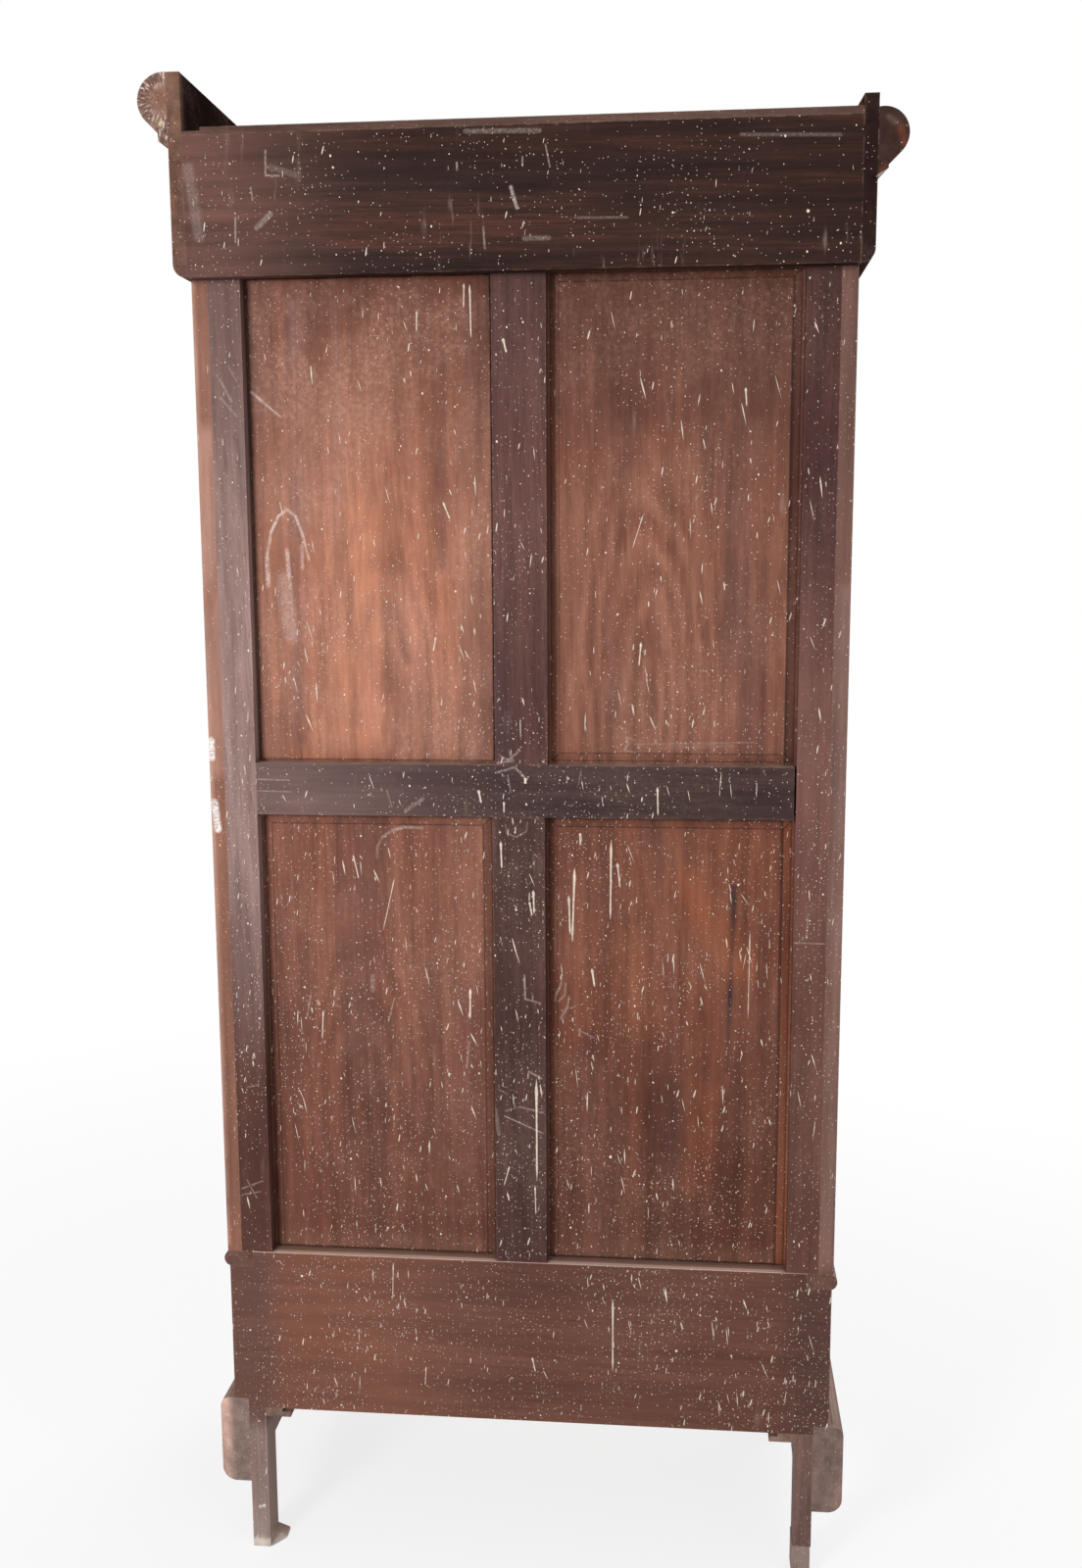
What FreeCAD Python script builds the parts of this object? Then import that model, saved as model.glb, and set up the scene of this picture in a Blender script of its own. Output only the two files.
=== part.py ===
import FreeCAD, Part
"""Kas: a tall two-door cupboard on a drawer base, with a lift-off cornice.

Millimetres, +Z up.  The doors face -Y and the framed back faces +Y.  Left and right are as
seen from the front, so left is -X.  The origin lies on the floor, under the middle of the
box that holds the whole cupboard.
"""
import math
import os
from types import SimpleNamespace

import Sketcher

# ---------------------------------------------------------------------------------------
# Driving sizes: (name, millimetres, what it is)
# ---------------------------------------------------------------------------------------
DRIVING_SIZES = [
    # Case
    ("case_width", 920, "across the outer faces of the case sides"),
    ("case_depth", 520, "from the front edges of the sides to the rear face of the back"),
    ("side_thickness", 22, "case side boards"),
    # Levels, each measured from the one below it
    ("moulding_clearance", 112, "floor to the underside of the base moulding"),
    ("moulding_height", 140, "base moulding"),
    ("drawer_opening", 219.5, "base moulding to waist frame"),
    ("waist_thickness", 25, "waist frame and waist board"),
    ("door_opening", 1439.5, "waist to the underside of the cornice"),
    ("frieze_height", 187.5, "underside of the cornice to the top of the case"),
    ("cornice_rise", 82.5, "top of the case to the top of the cornice boards"),
    # Back frame and its panels
    ("frame_thickness", 36, "stiles, rails and muntins of the back"),
    ("back_stile_width", 47, "back stiles"),
    ("muntin_width", 76, "back muntins"),
    ("mid_rail_width", 76, "back mid rail"),
    ("mid_rail_height", 682.5, "waist to the lower edge of the mid rail"),
    ("mid_rail_shrinkage", 3, "gap at the left shoulder of the mid rail"),
    ("upper_muntin_shift", 0.5, "upper muntin, off the middle towards the right"),
    ("lower_muntin_shift", 5, "lower muntin, off the middle towards the right"),
    ("top_rail_reveal", 6, "top rail, above the underside of the cornice"),
    ("panel_setback", 20, "rear face of the frame to the face of the panels"),
    ("field_raise", 4, "raised field above the panel tongue"),
    ("tongue_thickness", 8, "panel tongues and the tenons that share their grooves"),
    ("groove_depth", 10, "panel grooves"),
    ("panel_play", 3, "room left for a panel to move in its groove"),
    ("panel_margin", 4, "flat between the frame and the bevel of a panel"),
    ("bevel_width", 12, "bevel round a raised field"),
    ("foot_bevel", 4, "narrower bevel at the foot of the lower panels"),
    # Base
    ("base_side_thickness", 24, "side boards of the base"),
    ("base_board_thickness", 20, "back board of the base"),
    ("base_board_inset", 2.5, "ends of the base back board, inside the case sides"),
    ("base_board_drop", 14, "base back board, below the top of the base moulding"),
    ("moulding_projection", 21, "base moulding, beyond the case"),
    ("moulding_lower_round", 22, "lower edge of the base moulding"),
    ("moulding_upper_round", 14, "upper edge of the base moulding"),
    ("waist_projection", 6, "waist frame, beyond the case"),
    ("waist_rail_width", 45, "waist frame members"),
    # Legs
    ("leg_thickness", 27, "slabs of the legs"),
    ("leg_width", 48, "slabs of the legs, below the head"),
    ("leg_head_width", 77, "head of the leg slabs"),
    ("leg_head_level", 173, "floor to the shoulder of the leg head"),
    ("leg_head_round", 6, "inner corner under the leg head"),
    ("leg_upstand", 188, "rear legs, above the top of the base moulding"),
    ("toe_reach", 20, "toe of a leg, beyond its inner face"),
    ("toe_height", 12, "toe of a leg"),
    ("toe_tip_height", 4.5, "toe of a leg, at its tip"),
    ("toe_start_reach", 2.5, "toe of a leg where it starts, beyond the inner face"),
    ("toe_start_height", 4, "toe of a leg where it starts"),
    ("toe_setback", 2, "toe, from the edges of its leg"),
    ("splice_height", 53, "block spliced on as the foot of the left rear leg"),
    ("splice_step", 1.2, "spliced foot, inwards of its leg"),
    # Cornice
    ("cornice_thickness", 19, "side and front boards of the cornice"),
    ("cornice_back_thickness", 20, "back board of the cornice"),
    ("cornice_edge_round", 18, "lower edge of the cornice boards"),
    ("dust_board_thickness", 10, "dust board on top of the case"),
    ("dust_notch_width", 26, "worn rear corner of the dust board, along the back"),
    ("dust_notch_length", 40, "worn rear corner of the dust board, along the side"),
    ("dust_notch_drop", 5, "worn rear corner of the dust board"),
    ("roll_radius", 37, "half-round cornice roll"),
    ("roll_standoff", 4, "centre of the roll, outside the cornice board"),
    ("roll_neck", 23, "straight neck under the roll, along its slope"),
    ("roll_fillet", 10, "upright fillet under the neck of the roll"),
    ("roll_foot", 8, "bottom of the fillet to the foot of the roll"),
    ("left_board_drop", 57, "left cornice board, lower at the rear by"),
    ("left_roll_drop", 74.5, "left cornice roll, lower at the rear by"),
    ("left_roll_radius", 33.5, "rear end of the left cornice roll"),
    ("left_roll_standoff", 6.5, "centre of that end, outside the cornice board"),
    ("left_roll_fillet", 4, "upright fillet at that end"),
    # Shelves
    ("shelf_thickness", 20, "shelves"),
    ("shelf_housing", 7, "depth of the shelf housings in the case sides"),
    # Doors
    ("door_thickness", 24, "door frames"),
    ("door_gap", 2, "gap round and between the doors"),
    ("door_stile_width", 70, "door stiles"),
    ("door_top_rail_width", 80, "top rails of the doors"),
    ("door_bottom_rail_width", 105, "bottom rails of the doors"),
    ("door_tenon_length", 35, "tenons of the door rails"),
    ("door_tenon_shoulder", 15, "shoulder above and below a door tenon"),
    ("door_field_depth", 3, "front of a door to the face of its panel"),
    ("door_field_raise", 5, "raised field of a door panel above its tongue"),
    ("door_bevel_width", 38, "bevel round the field of a door panel"),
    ("shelf_setback", 2, "shelf edges, behind the lock of the closed doors"),
    # Butt hinges
    ("hinge_length", 84, "butt hinges, three to a door"),
    ("hinge_end_distance", 150, "end of a door to the middle of its hinge"),
    ("leaf_thickness", 2.5, "hinge leaves"),
    ("leaf_width", 20, "hinge leaves, let into the edge"),
    ("knuckle_radius", 5, "hinge knuckles"),
    ("knuckle_standoff", 0.5, "knuckle, in front of the door"),
    ("knuckle_gap", 0.3, "between neighbouring knuckles"),
    ("pin_radius", 2.4, "hinge pins"),
    ("pin_fit", 0.05, "radial running fit of the turning knuckle"),
    # Lock and key, on the right door
    ("lock_height", 603.5, "waist to the middle of the lock"),
    ("lock_length", 60, "lock case, across the stile"),
    ("lock_width", 80, "lock case, up the stile"),
    ("lock_depth", 18, "lock case, behind the door"),
    ("lock_wall", 2, "walls of the lock case"),
    ("lock_edge_distance", 5, "meeting edge of the door to the lock case"),
    ("bolt_height", 14, "lock bolt, up the door"),
    ("bolt_thickness", 8, "lock bolt, through the door"),
    ("bolt_length", 56, "lock bolt"),
    ("bolt_rise", 14, "key axis to the lower edge of the bolt"),
    ("bolt_fit", 0.3, "clearance round the sliding bolt"),
    ("talon_width", 20, "notch in the bolt that the key works in"),
    ("talon_depth", 5, "notch in the bolt that the key works in"),
    ("key_radius", 3.5, "key shank"),
    ("key_fit", 0.5, "clearance round the key shank"),
    ("key_reach", 34, "key, in front of the door"),
    ("key_bit_radius", 17, "key axis to the tip of its bit"),
    ("key_bit_width", 7, "key bit, along the shank"),
    ("key_bit_thickness", 2.4, "key bit"),
    ("key_bow_radius", 12, "ring of the key"),
    ("key_bow_wire", 2.6, "thickness radius of the ring"),
    # Drawer
    ("drawer_gap", 1.5, "gap round the drawer front"),
    ("drawer_front_thickness", 22, "drawer front"),
    ("drawer_side_thickness", 13, "drawer sides and back"),
    ("drawer_side_height", 178, "drawer sides"),
    ("drawer_rear_gap", 13, "rear of the drawer sides to the heads of the rear legs"),
    ("drawer_slide_gap", 0.3, "under the drawer sides"),
    ("drawer_bottom_thickness", 8, "drawer bottom"),
    ("drawer_bottom_rise", 10, "lower edge of the sides to the drawer bottom"),
    ("drawer_groove", 6, "grooves for the drawer bottom"),
    ("dovetail_length", 14, "dovetails, into the drawer front"),
    ("dovetail_root", 26, "dovetails, at their root"),
    ("dovetail_flare", 4, "spread of a dovetail at each side"),
    ("runner_width", 66.5, "drawer runners"),
    ("runner_thickness", 28, "drawer runners"),
    ("runner_rebate_width", 13, "rebate along the inner upper edge of the runners"),
    ("runner_rebate_depth", 20, "rebate along the inner upper edge of the runners"),
    ("knob_inset", 204.5, "end of the drawer front to the middle of its knob"),
    ("knob_radius", 19, "drawer knobs"),
    ("knob_length", 30, "drawer knobs, in front of the drawer"),
    ("knob_neck_radius", 9, "necks of the drawer knobs"),
    ("knob_spigot_radius", 6, "spigots of the drawer knobs"),
]

HINGES_PER_DOOR = 3
DOVETAILS_PER_CORNER = 3
SHELF_NAMES = ("shelf_lower", "shelf_middle", "shelf_upper")
SIDES = (("left", -1), ("right", 1))
# Widths of a knob as shares of its radius, and lengths as shares of its length.
KNOB_FACE_SHARE, KNOB_ROUND_SHARE, KNOB_RIM_SHARE, KNOB_COLLAR_SHARE = 0.6, 0.45, 0.95, 0.7
KNOB_RIM_START_SHARE, KNOB_RIM_END_SHARE, KNOB_HEAD_SHARE = 0.25, 0.4, 0.65
KNOB_FLARE_SHARE, KNOB_COLLAR_END_SHARE = 0.15, 0.1
OVERSIZE = 50.0
LEAST_CUT = 1.0

document = FreeCAD.newDocument("kas")
sheet = document.addObject("Spreadsheet::Sheet", "Sizes")


class Size:
    """A length that carries its number and the sheet expression that it is bound to."""

    def __init__(self, text, value):
        self.text = text
        self.value = value

    @staticmethod
    def of(item):
        """Returns the item as a Size; a plain number stands for itself."""
        return item if isinstance(item, Size) else Size(repr(float(item)), float(item))

    def __add__(self, other):
        other = Size.of(other)
        return Size(f"({self.text} + {other.text})", self.value + other.value)

    def __radd__(self, other):
        return Size.of(other) + self

    def __sub__(self, other):
        other = Size.of(other)
        return Size(f"({self.text} - {other.text})", self.value - other.value)

    def __rsub__(self, other):
        return Size.of(other) - self

    def __mul__(self, other):
        other = Size.of(other)
        return Size(f"({self.text} * {other.text})", self.value * other.value)

    __rmul__ = __mul__

    def __truediv__(self, other):
        other = Size.of(other)
        return Size(f"({self.text} / {other.text})", self.value / other.value)

    def __neg__(self):
        return Size(f"(-{self.text})", -self.value)

    def root(self):
        """Returns the square root."""
        return Size(f"sqrt({self.text})", math.sqrt(self.value))


def fill_sheet():
    """Writes the driving sizes to the sheet and returns them as Size attributes."""
    sizes = {}
    for row, (alias, number, meaning) in enumerate(DRIVING_SIZES, start=1):
        sheet.set(f"A{row}", meaning)
        sheet.set(f"B{row}", str(number))
        sheet.setAlias(f"B{row}", alias)
        sizes[alias] = Size(f"Sizes.{alias}", float(number))
    document.recompute()
    return SimpleNamespace(**sizes)


d = fill_sheet()
pieces = {}

# ---------------------------------------------------------------------------------------
# Ways of making solids
# ---------------------------------------------------------------------------------------


def bind(item, property_path, size):
    """Ties a property of an object to the sheet."""
    item.setExpression(property_path, Size.of(size).text)


def place(item, x, y, z):
    """Ties the position of an object to the sheet."""
    for axis, size in zip("xyz", (x, y, z)):
        bind(item, f"Placement.Base.{axis}", size)


def block(x, y, z):
    """Returns a box between the (low, high) faces given for each axis."""
    item = document.addObject("Part::Box", "block")
    for side, (low, high) in zip(("Length", "Width", "Height"), (x, y, z)):
        bind(item, side, high - low)
    place(item, x[0], y[0], z[0])
    return item


AXIS_TURNS = {
    "x": FreeCAD.Rotation(FreeCAD.Vector(0, 1, 0), 90),
    "y": FreeCAD.Rotation(FreeCAD.Vector(1, 0, 0), -90),
    "z": FreeCAD.Rotation(),
}


def rod(axis, centre, radius, length):
    """Returns a cylinder that starts at centre and runs along +axis."""
    item = document.addObject("Part::Cylinder", "rod")
    item.Placement = FreeCAD.Placement(FreeCAD.Vector(), AXIS_TURNS[axis])
    bind(item, "Radius", radius)
    bind(item, "Height", length)
    place(item, *centre)
    return item


def frustum(x, y, z, inset, facing):
    """Returns a slab whose four sides slope in by inset = (x low, x high, z low, z high).

    facing is +1 when the smaller face looks along +Y and -1 when it looks along -Y.
    """
    item = document.addObject("Part::Wedge", "frustum")
    wide = {"Xmin": x[0], "Xmax": x[1], "Zmin": z[0], "Zmax": z[1]}
    small = {
        "X2min": x[0] + inset[0],
        "X2max": x[1] - inset[1],
        "Z2min": z[0] + inset[2],
        "Z2max": z[1] - inset[3],
    }
    bind(item, "Ymin", 0)
    bind(item, "Ymax", y[1] - y[0])
    if facing > 0:
        for name, size in {**wide, **small}.items():
            bind(item, name, size)
        place(item, 0, y[0], 0)
        return item
    # Turned half round about Z, the slab narrows towards -Y.
    turned = {
        "Xmin": -x[1],
        "Xmax": -x[0],
        "X2min": inset[1] - x[1],
        "X2max": -(x[0] + inset[0]),
    }
    for name, size in {**wide, **small, **turned}.items():
        bind(item, name, size)
    item.Placement = FreeCAD.Placement(
        FreeCAD.Vector(), FreeCAD.Rotation(FreeCAD.Vector(0, 0, 1), 180)
    )
    place(item, 0, y[1], 0)
    return item


def join(*items):
    """Returns the fusion of solids that meet, as one solid."""
    item = document.addObject("Part::MultiFuse", "join")
    item.Shapes = list(items)
    item.Refine = True
    return item


def together(*items):
    """Returns a group of separate solids."""
    item = document.addObject("Part::Compound", "together")
    item.Links = list(items)
    return item


def cut(base, *tools):
    """Returns base with every tool taken out of it."""
    item = document.addObject("Part::Cut", "cut")
    item.Base = base
    item.Tool = tools[0] if len(tools) == 1 else together(*tools)
    item.Refine = True
    return item


def finish_piece(name, item):
    """Gives a piece the label that names its file."""
    item.Label = name
    pieces[name] = item
    return item


# Role of each origin plane, and the sign that turns a world distance into an offset along
# the normal of that plane.
PLANES = {"x": ("YZ_Plane", 1), "y": ("XZ_Plane", -1), "z": ("XY_Plane", 1)}


class Curve:
    """Marks an outline corner whose next edge is an arc."""

    def __init__(self, x, y, radius, clockwise=False):
        self.point = (x, y)
        self.radius = radius
        self.clockwise = clockwise


def arc_between(start, end, radius, clockwise):
    """Returns the minor circular arc from start to end."""
    chord = end - start
    middle = (start + end) * 0.5
    height = math.sqrt(max(radius**2 - (chord.Length / 2) ** 2, 0.0))
    across = FreeCAD.Vector(-chord.y, chord.x, 0).normalize()
    centre = middle + across * (-height if clockwise else height)
    first, last = (end, start) if clockwise else (start, end)
    start_angle = math.atan2(first.y - centre.y, first.x - centre.x)
    end_angle = math.atan2(last.y - centre.y, last.x - centre.x)
    circle = Part.Circle(centre, FreeCAD.Vector(0, 0, 1), radius)
    return Part.ArcOfCircle(circle, start_angle, end_angle)


def draw_outline(sketch, corners):
    """Draws a closed outline whose corners and radii are all tied to the sheet."""
    points = [corner.point if isinstance(corner, Curve) else corner for corner in corners]
    points = [(Size.of(x), Size.of(y)) for x, y in points]
    spots = [FreeCAD.Vector(x.value, y.value, 0) for x, y in points]
    count = len(corners)
    ends = []
    for index, corner in enumerate(corners):
        start, end = spots[index], spots[(index + 1) % count]
        if isinstance(corner, Curve):
            radius = Size.of(corner.radius)
            edge = arc_between(start, end, radius.value, corner.clockwise)
            ends.append((2, 1) if corner.clockwise else (1, 2))
        else:
            edge = Part.LineSegment(start, end)
            ends.append((1, 2))
        sketch.addGeometry(edge, False)
    for index in range(count):
        following = (index + 1) % count
        link = (index, ends[index][1], following, ends[following][0])
        sketch.addConstraint(Sketcher.Constraint("Coincident", *link))
    for index, (x, y) in enumerate(points):
        for kind, size in (("DistanceX", x), ("DistanceY", y)):
            where = (-1, 1, index, ends[index][0], size.value)
            number = sketch.addConstraint(Sketcher.Constraint(kind, *where))
            sketch.setExpression(f"Constraints[{number}]", size.text)
    for index, corner in enumerate(corners):
        if isinstance(corner, Curve):
            radius = Size.of(corner.radius)
            number = sketch.addConstraint(Sketcher.Constraint("Radius", index, radius.value))
            sketch.setExpression(f"Constraints[{number}]", radius.text)


def origin_plane(body, role):
    """Returns the plane of a body's own origin that has the given role."""
    return next(item for item in body.Origin.OriginFeatures if item.Role == role)


def sketch_on(body, axis, offset, corners):
    """Returns a sketch square to axis, at the world position offset."""
    role, sign = PLANES[axis]
    sketch = body.newObject("Sketcher::SketchObject", "outline")
    sketch.AttachmentSupport = (origin_plane(body, role), [""])
    sketch.MapMode = "FlatFace"
    bind(sketch, "AttachmentOffset.Base.z", Size.of(offset) * sign)
    draw_outline(sketch, corners)
    return sketch


def extrude(axis, corners, span):
    """Returns a body padded square to axis between span = (low, high)."""
    body = document.addObject("PartDesign::Body", "body")
    low, high = Size.of(span[0]), Size.of(span[1])
    start = high if PLANES[axis][1] < 0 else low
    sketch = sketch_on(body, axis, start, corners)
    pad = body.newObject("PartDesign::Pad", "pad")
    pad.Profile = sketch
    bind(pad, "Length", high - low)
    body.Tip = pad
    return body


def blend_along(rear_corners, front_corners, span):
    """Returns a body along Y that changes from its rear outline to its front one.

    Both outlines have the same kinds of edges in the same order.
    """
    body = document.addObject("PartDesign::Body", "body")
    rear = sketch_on(body, "y", span[1], rear_corners)
    front = sketch_on(body, "y", span[0], front_corners)
    loft = body.newObject("PartDesign::AdditiveLoft", "loft")
    loft.Profile = rear
    loft.Sections = [front]
    loft.Ruled = True
    body.Tip = loft
    return body


def turned_profile(corners, centre):
    """Returns a body turned about an axis along -Y through centre = (x, z).

    Each corner is (radius, world y).
    """
    body = document.addObject("PartDesign::Body", "turned")
    sketch = sketch_on(body, "z", 0, corners)
    turning = body.newObject("PartDesign::Revolution", "turning")
    turning.Profile = sketch
    turning.ReferenceAxis = (sketch, ["V_Axis"])
    turning.Angle = 360
    body.Tip = turning
    bind(body, "Placement.Base.x", centre[0])
    bind(body, "Placement.Base.z", centre[1])
    return body


# ---------------------------------------------------------------------------------------
# Faces and levels that several pieces share
# ---------------------------------------------------------------------------------------
half_width = d.case_width / 2
side_inner = half_width - d.side_thickness
roll_projection = d.roll_standoff + d.roll_radius
front_overhang = d.cornice_thickness + roll_projection
overall_depth = d.case_depth + front_overhang + d.cornice_back_thickness
cornice_rear = overall_depth / 2
back_face = cornice_rear - d.cornice_back_thickness
front_face = back_face - d.case_depth

floor = Size.of(0)
moulding_foot = d.moulding_clearance
moulding_top = moulding_foot + d.moulding_height
waist_foot = moulding_top + d.drawer_opening
waist_top = waist_foot + d.waist_thickness
cornice_foot = waist_top + d.door_opening
case_top = cornice_foot + d.frieze_height
cornice_top = case_top + d.cornice_rise

frame_front = back_face - d.frame_thickness
panel_face = back_face - d.panel_setback
tongue_rear = panel_face - d.field_raise
tongue_front = tongue_rear - d.tongue_thickness
tongue_span = (tongue_front, tongue_rear)
stile_inner = side_inner - d.back_stile_width
base_inner = half_width - d.base_side_thickness
base_board_front = back_face - d.base_board_thickness
base_board_foot = moulding_top - d.base_board_drop
waist_inner = half_width + d.waist_projection - d.waist_rail_width


def mirrored(sign, low, high):
    """Returns the (low, high) span on the left (-1) or right (+1) side."""
    return (low, high) if sign > 0 else (-high, -low)


def mitre_tool(sign, keep_front):
    """Returns the waste at a front corner, beyond the plumb mitre through the case corner.

    The mitre bisects the corner.  keep_front tells which of its two pieces is kept.
    """
    reach = half_width + OVERSIZE
    near = (sign * (half_width - reach), front_face + reach)
    far = (sign * (half_width + reach), front_face - reach)
    corner = (near[0], far[1]) if not keep_front else (far[0], near[1])
    return extrude("z", [near, far, corner], (floor - OVERSIZE, cornice_top + OVERSIZE))


def run_beside(sign, profile, rear, front_profile=None):
    """Returns a moulding along one side, mitred at the front.

    profile is a list of (distance outside the case, height) corners.  front_profile, if
    there is one, is what the profile changes into at the front.
    """
    span = (front_face - front_overhang, rear)
    corners = [shift_corner(corner, half_width, sign) for corner in profile]
    if front_profile is None:
        return cut(extrude("y", corners, span), mitre_tool(sign, False))
    front_corners = [shift_corner(corner, half_width, sign) for corner in front_profile]
    return cut(blend_along(corners, front_corners, span), mitre_tool(sign, False))


def run_across(profile):
    """Returns a moulding along the front, mitred at both ends."""
    corners = [shift_corner(corner, -front_face, -1) for corner in profile]
    body = extrude("x", corners, (-half_width * 2, half_width * 2))
    return cut(body, mitre_tool(-1, True), mitre_tool(1, True))


def shift_corner(corner, face, sign):
    """Returns an outline corner moved out to a face of the case, on the side of sign."""
    if isinstance(corner, Curve):
        x, y = corner.point
        return Curve((x + face) * sign, y, corner.radius, corner.clockwise != (sign < 0))
    x, y = corner
    return ((x + face) * sign, y)


# ---------------------------------------------------------------------------------------
# Back: stiles, rails, muntins and panels
# ---------------------------------------------------------------------------------------


def make_back_frame():
    """Makes the grooved frame of the back."""
    rail_low = waist_top + d.mid_rail_height
    rail_high = rail_low + d.mid_rail_width
    top_rail_low = cornice_foot + d.top_rail_reveal
    through = (frame_front, back_face)
    for name, sign in SIDES:
        stile = block(mirrored(sign, stile_inner, side_inner), through, (waist_top, case_top))
        groove_x = mirrored(sign, stile_inner, stile_inner + d.groove_depth)
        groove = block(groove_x, tongue_span, (waist_top, case_top))
        finish_piece(f"back_stile_{name}", cut(stile, groove))

    reach = stile_inner + d.groove_depth
    top_rail = join(
        block((-stile_inner, stile_inner), through, (top_rail_low, case_top)),
        block((-reach, reach), tongue_span, (top_rail_low, case_top)),
    )
    groove = block(
        (-reach, reach), tongue_span, (top_rail_low, top_rail_low + d.groove_depth)
    )
    finish_piece("back_top_rail", cut(top_rail, groove))

    left_end = d.mid_rail_shrinkage - stile_inner
    mid_rail = join(
        block((left_end, stile_inner), through, (rail_low, rail_high)),
        block((left_end - d.groove_depth, reach), tongue_span, (rail_low, rail_high)),
    )
    grooves = [
        block((-reach, reach), tongue_span, (rail_high - d.groove_depth, rail_high)),
        block((-reach, reach), tongue_span, (rail_low, rail_low + d.groove_depth)),
    ]
    finish_piece("back_mid_rail", cut(mid_rail, *grooves))

    spans = {
        "upper": (d.upper_muntin_shift, rail_high, top_rail_low, d.groove_depth),
        "lower": (d.lower_muntin_shift, waist_top, rail_low, Size.of(0)),
    }
    for name, (middle, low, high, foot_tenon) in spans.items():
        left, right = middle - d.muntin_width / 2, middle + d.muntin_width / 2
        muntin = join(
            block((left, right), through, (low, high)),
            block((left, right), tongue_span, (low - foot_tenon, high + d.groove_depth)),
        )
        grooves = [
            block((left, left + d.groove_depth), tongue_span,
                  (low - foot_tenon, high + d.groove_depth)),
            block((right - d.groove_depth, right), tongue_span,
                  (low - foot_tenon, high + d.groove_depth)),
        ]
        finish_piece(f"back_muntin_{name}", cut(muntin, *grooves))

        reach_in = d.groove_depth - d.panel_play
        top = high + reach_in
        foot = low if name == "lower" else low - reach_in
        openings = {"left": (-stile_inner, left), "right": (right, stile_inner)}
        for side, opening in openings.items():
            plain = (name, side) == ("upper", "right")
            finish_piece(
                f"back_panel_{name}_{side}",
                back_panel(opening, (low, high), (foot, top), name == "lower", plain),
            )


def back_panel(opening_x, opening_z, tongue_z, stands, plain):
    """Returns a panel held in the grooves round its opening.

    A plain panel has a flat face; the others have a raised field inside a bevel.
    """
    reach_in = d.groove_depth - d.panel_play
    tongue = block(
        (opening_x[0] - reach_in, opening_x[1] + reach_in), tongue_span, tongue_z
    )
    margin = d.panel_margin
    foot_margin = margin if not stands else Size.of(0)
    field_x = (opening_x[0] + margin, opening_x[1] - margin)
    field_z = (opening_z[0] + foot_margin, opening_z[1] - margin)
    bevel = d.bevel_width
    if plain:
        face = block(field_x, (tongue_rear, panel_face), field_z)
        return join(tongue, face)
    foot_bevel = d.foot_bevel if stands else bevel
    inset = (bevel, bevel, foot_bevel, bevel)
    return join(tongue, frustum(field_x, (tongue_rear, panel_face), field_z, inset, 1))


# ---------------------------------------------------------------------------------------
# Base: back board, sides, waist frame, mouldings and legs
# ---------------------------------------------------------------------------------------


def make_base():
    """Makes the drawer base and the waist frame that closes it."""
    board_end = half_width - d.base_board_inset
    thickness = (base_board_front, back_face)
    board = block((-board_end, board_end), thickness, (base_board_foot, waist_top))
    notches = []
    for _, sign in SIDES:
        waist_notch = mirrored(sign, waist_inner, half_width)
        notches.append(block(waist_notch, thickness, (waist_foot, waist_top)))
        moulding_notch = mirrored(sign, base_inner, half_width)
        notches.append(block(moulding_notch, thickness, (base_board_foot, moulding_top)))
    finish_piece("base_back_board", cut(board, *notches))

    for name, sign in SIDES:
        side = block(
            mirrored(sign, base_inner, half_width),
            (front_face, base_board_front),
            (moulding_top, waist_foot),
        )
        finish_piece(f"base_side_{name}", side)

    waist_front = front_face - d.waist_projection + d.waist_rail_width
    board = block(
        (-waist_inner, waist_inner), (waist_front, base_board_front), (waist_foot, waist_top)
    )
    finish_piece("waist_board", board)

    nose = d.waist_thickness / 2
    inside = d.waist_projection - d.waist_rail_width
    waist_profile = [
        (inside, waist_foot),
        Curve(d.waist_projection - nose, waist_foot, nose),
        Curve(d.waist_projection, waist_foot + nose, nose),
        (d.waist_projection - nose, waist_top),
        (inside, waist_top),
    ]
    make_mitred_set("waist_rail", waist_profile)

    low_round, high_round = d.moulding_lower_round, d.moulding_upper_round
    nose = d.moulding_projection
    moulding_profile = [
        (-d.base_side_thickness, moulding_foot),
        Curve(nose - low_round, moulding_foot, low_round),
        (nose, moulding_foot + low_round),
        Curve(nose, moulding_top - high_round, high_round),
        (nose - high_round, moulding_top),
        (-d.base_side_thickness, moulding_top),
    ]
    make_mitred_set("base_moulding", moulding_profile)


def make_mitred_set(name, profile):
    """Makes the left, right and front members of one moulding."""
    for side, sign in SIDES:
        finish_piece(f"{name}_{side}", run_beside(sign, profile, back_face))
    finish_piece(f"{name}_front", run_across(profile))


def leg_outline(edge, inward, top, rear_rebate):
    """Returns the outline of a leg slab as (position, height) corners.

    edge is the outer edge of the slab and inward the direction of its head and toe.
    """
    shank = edge + inward * d.leg_width
    head = edge + inward * d.leg_head_width
    shoulder = d.leg_head_level
    corner = d.leg_head_round
    outline = [
        (edge, floor),
        (shank, floor),
        Curve(shank, shoulder - corner, corner, clockwise=inward > 0),
        (shank + inward * corner, shoulder),
        (head, shoulder),
        (head, top),
    ]
    if rear_rebate:
        outline += [
            (base_board_front, top),
            (base_board_front, base_board_foot),
            (edge, base_board_foot),
        ]
    else:
        outline += [(edge, top)]
    return outline


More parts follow.
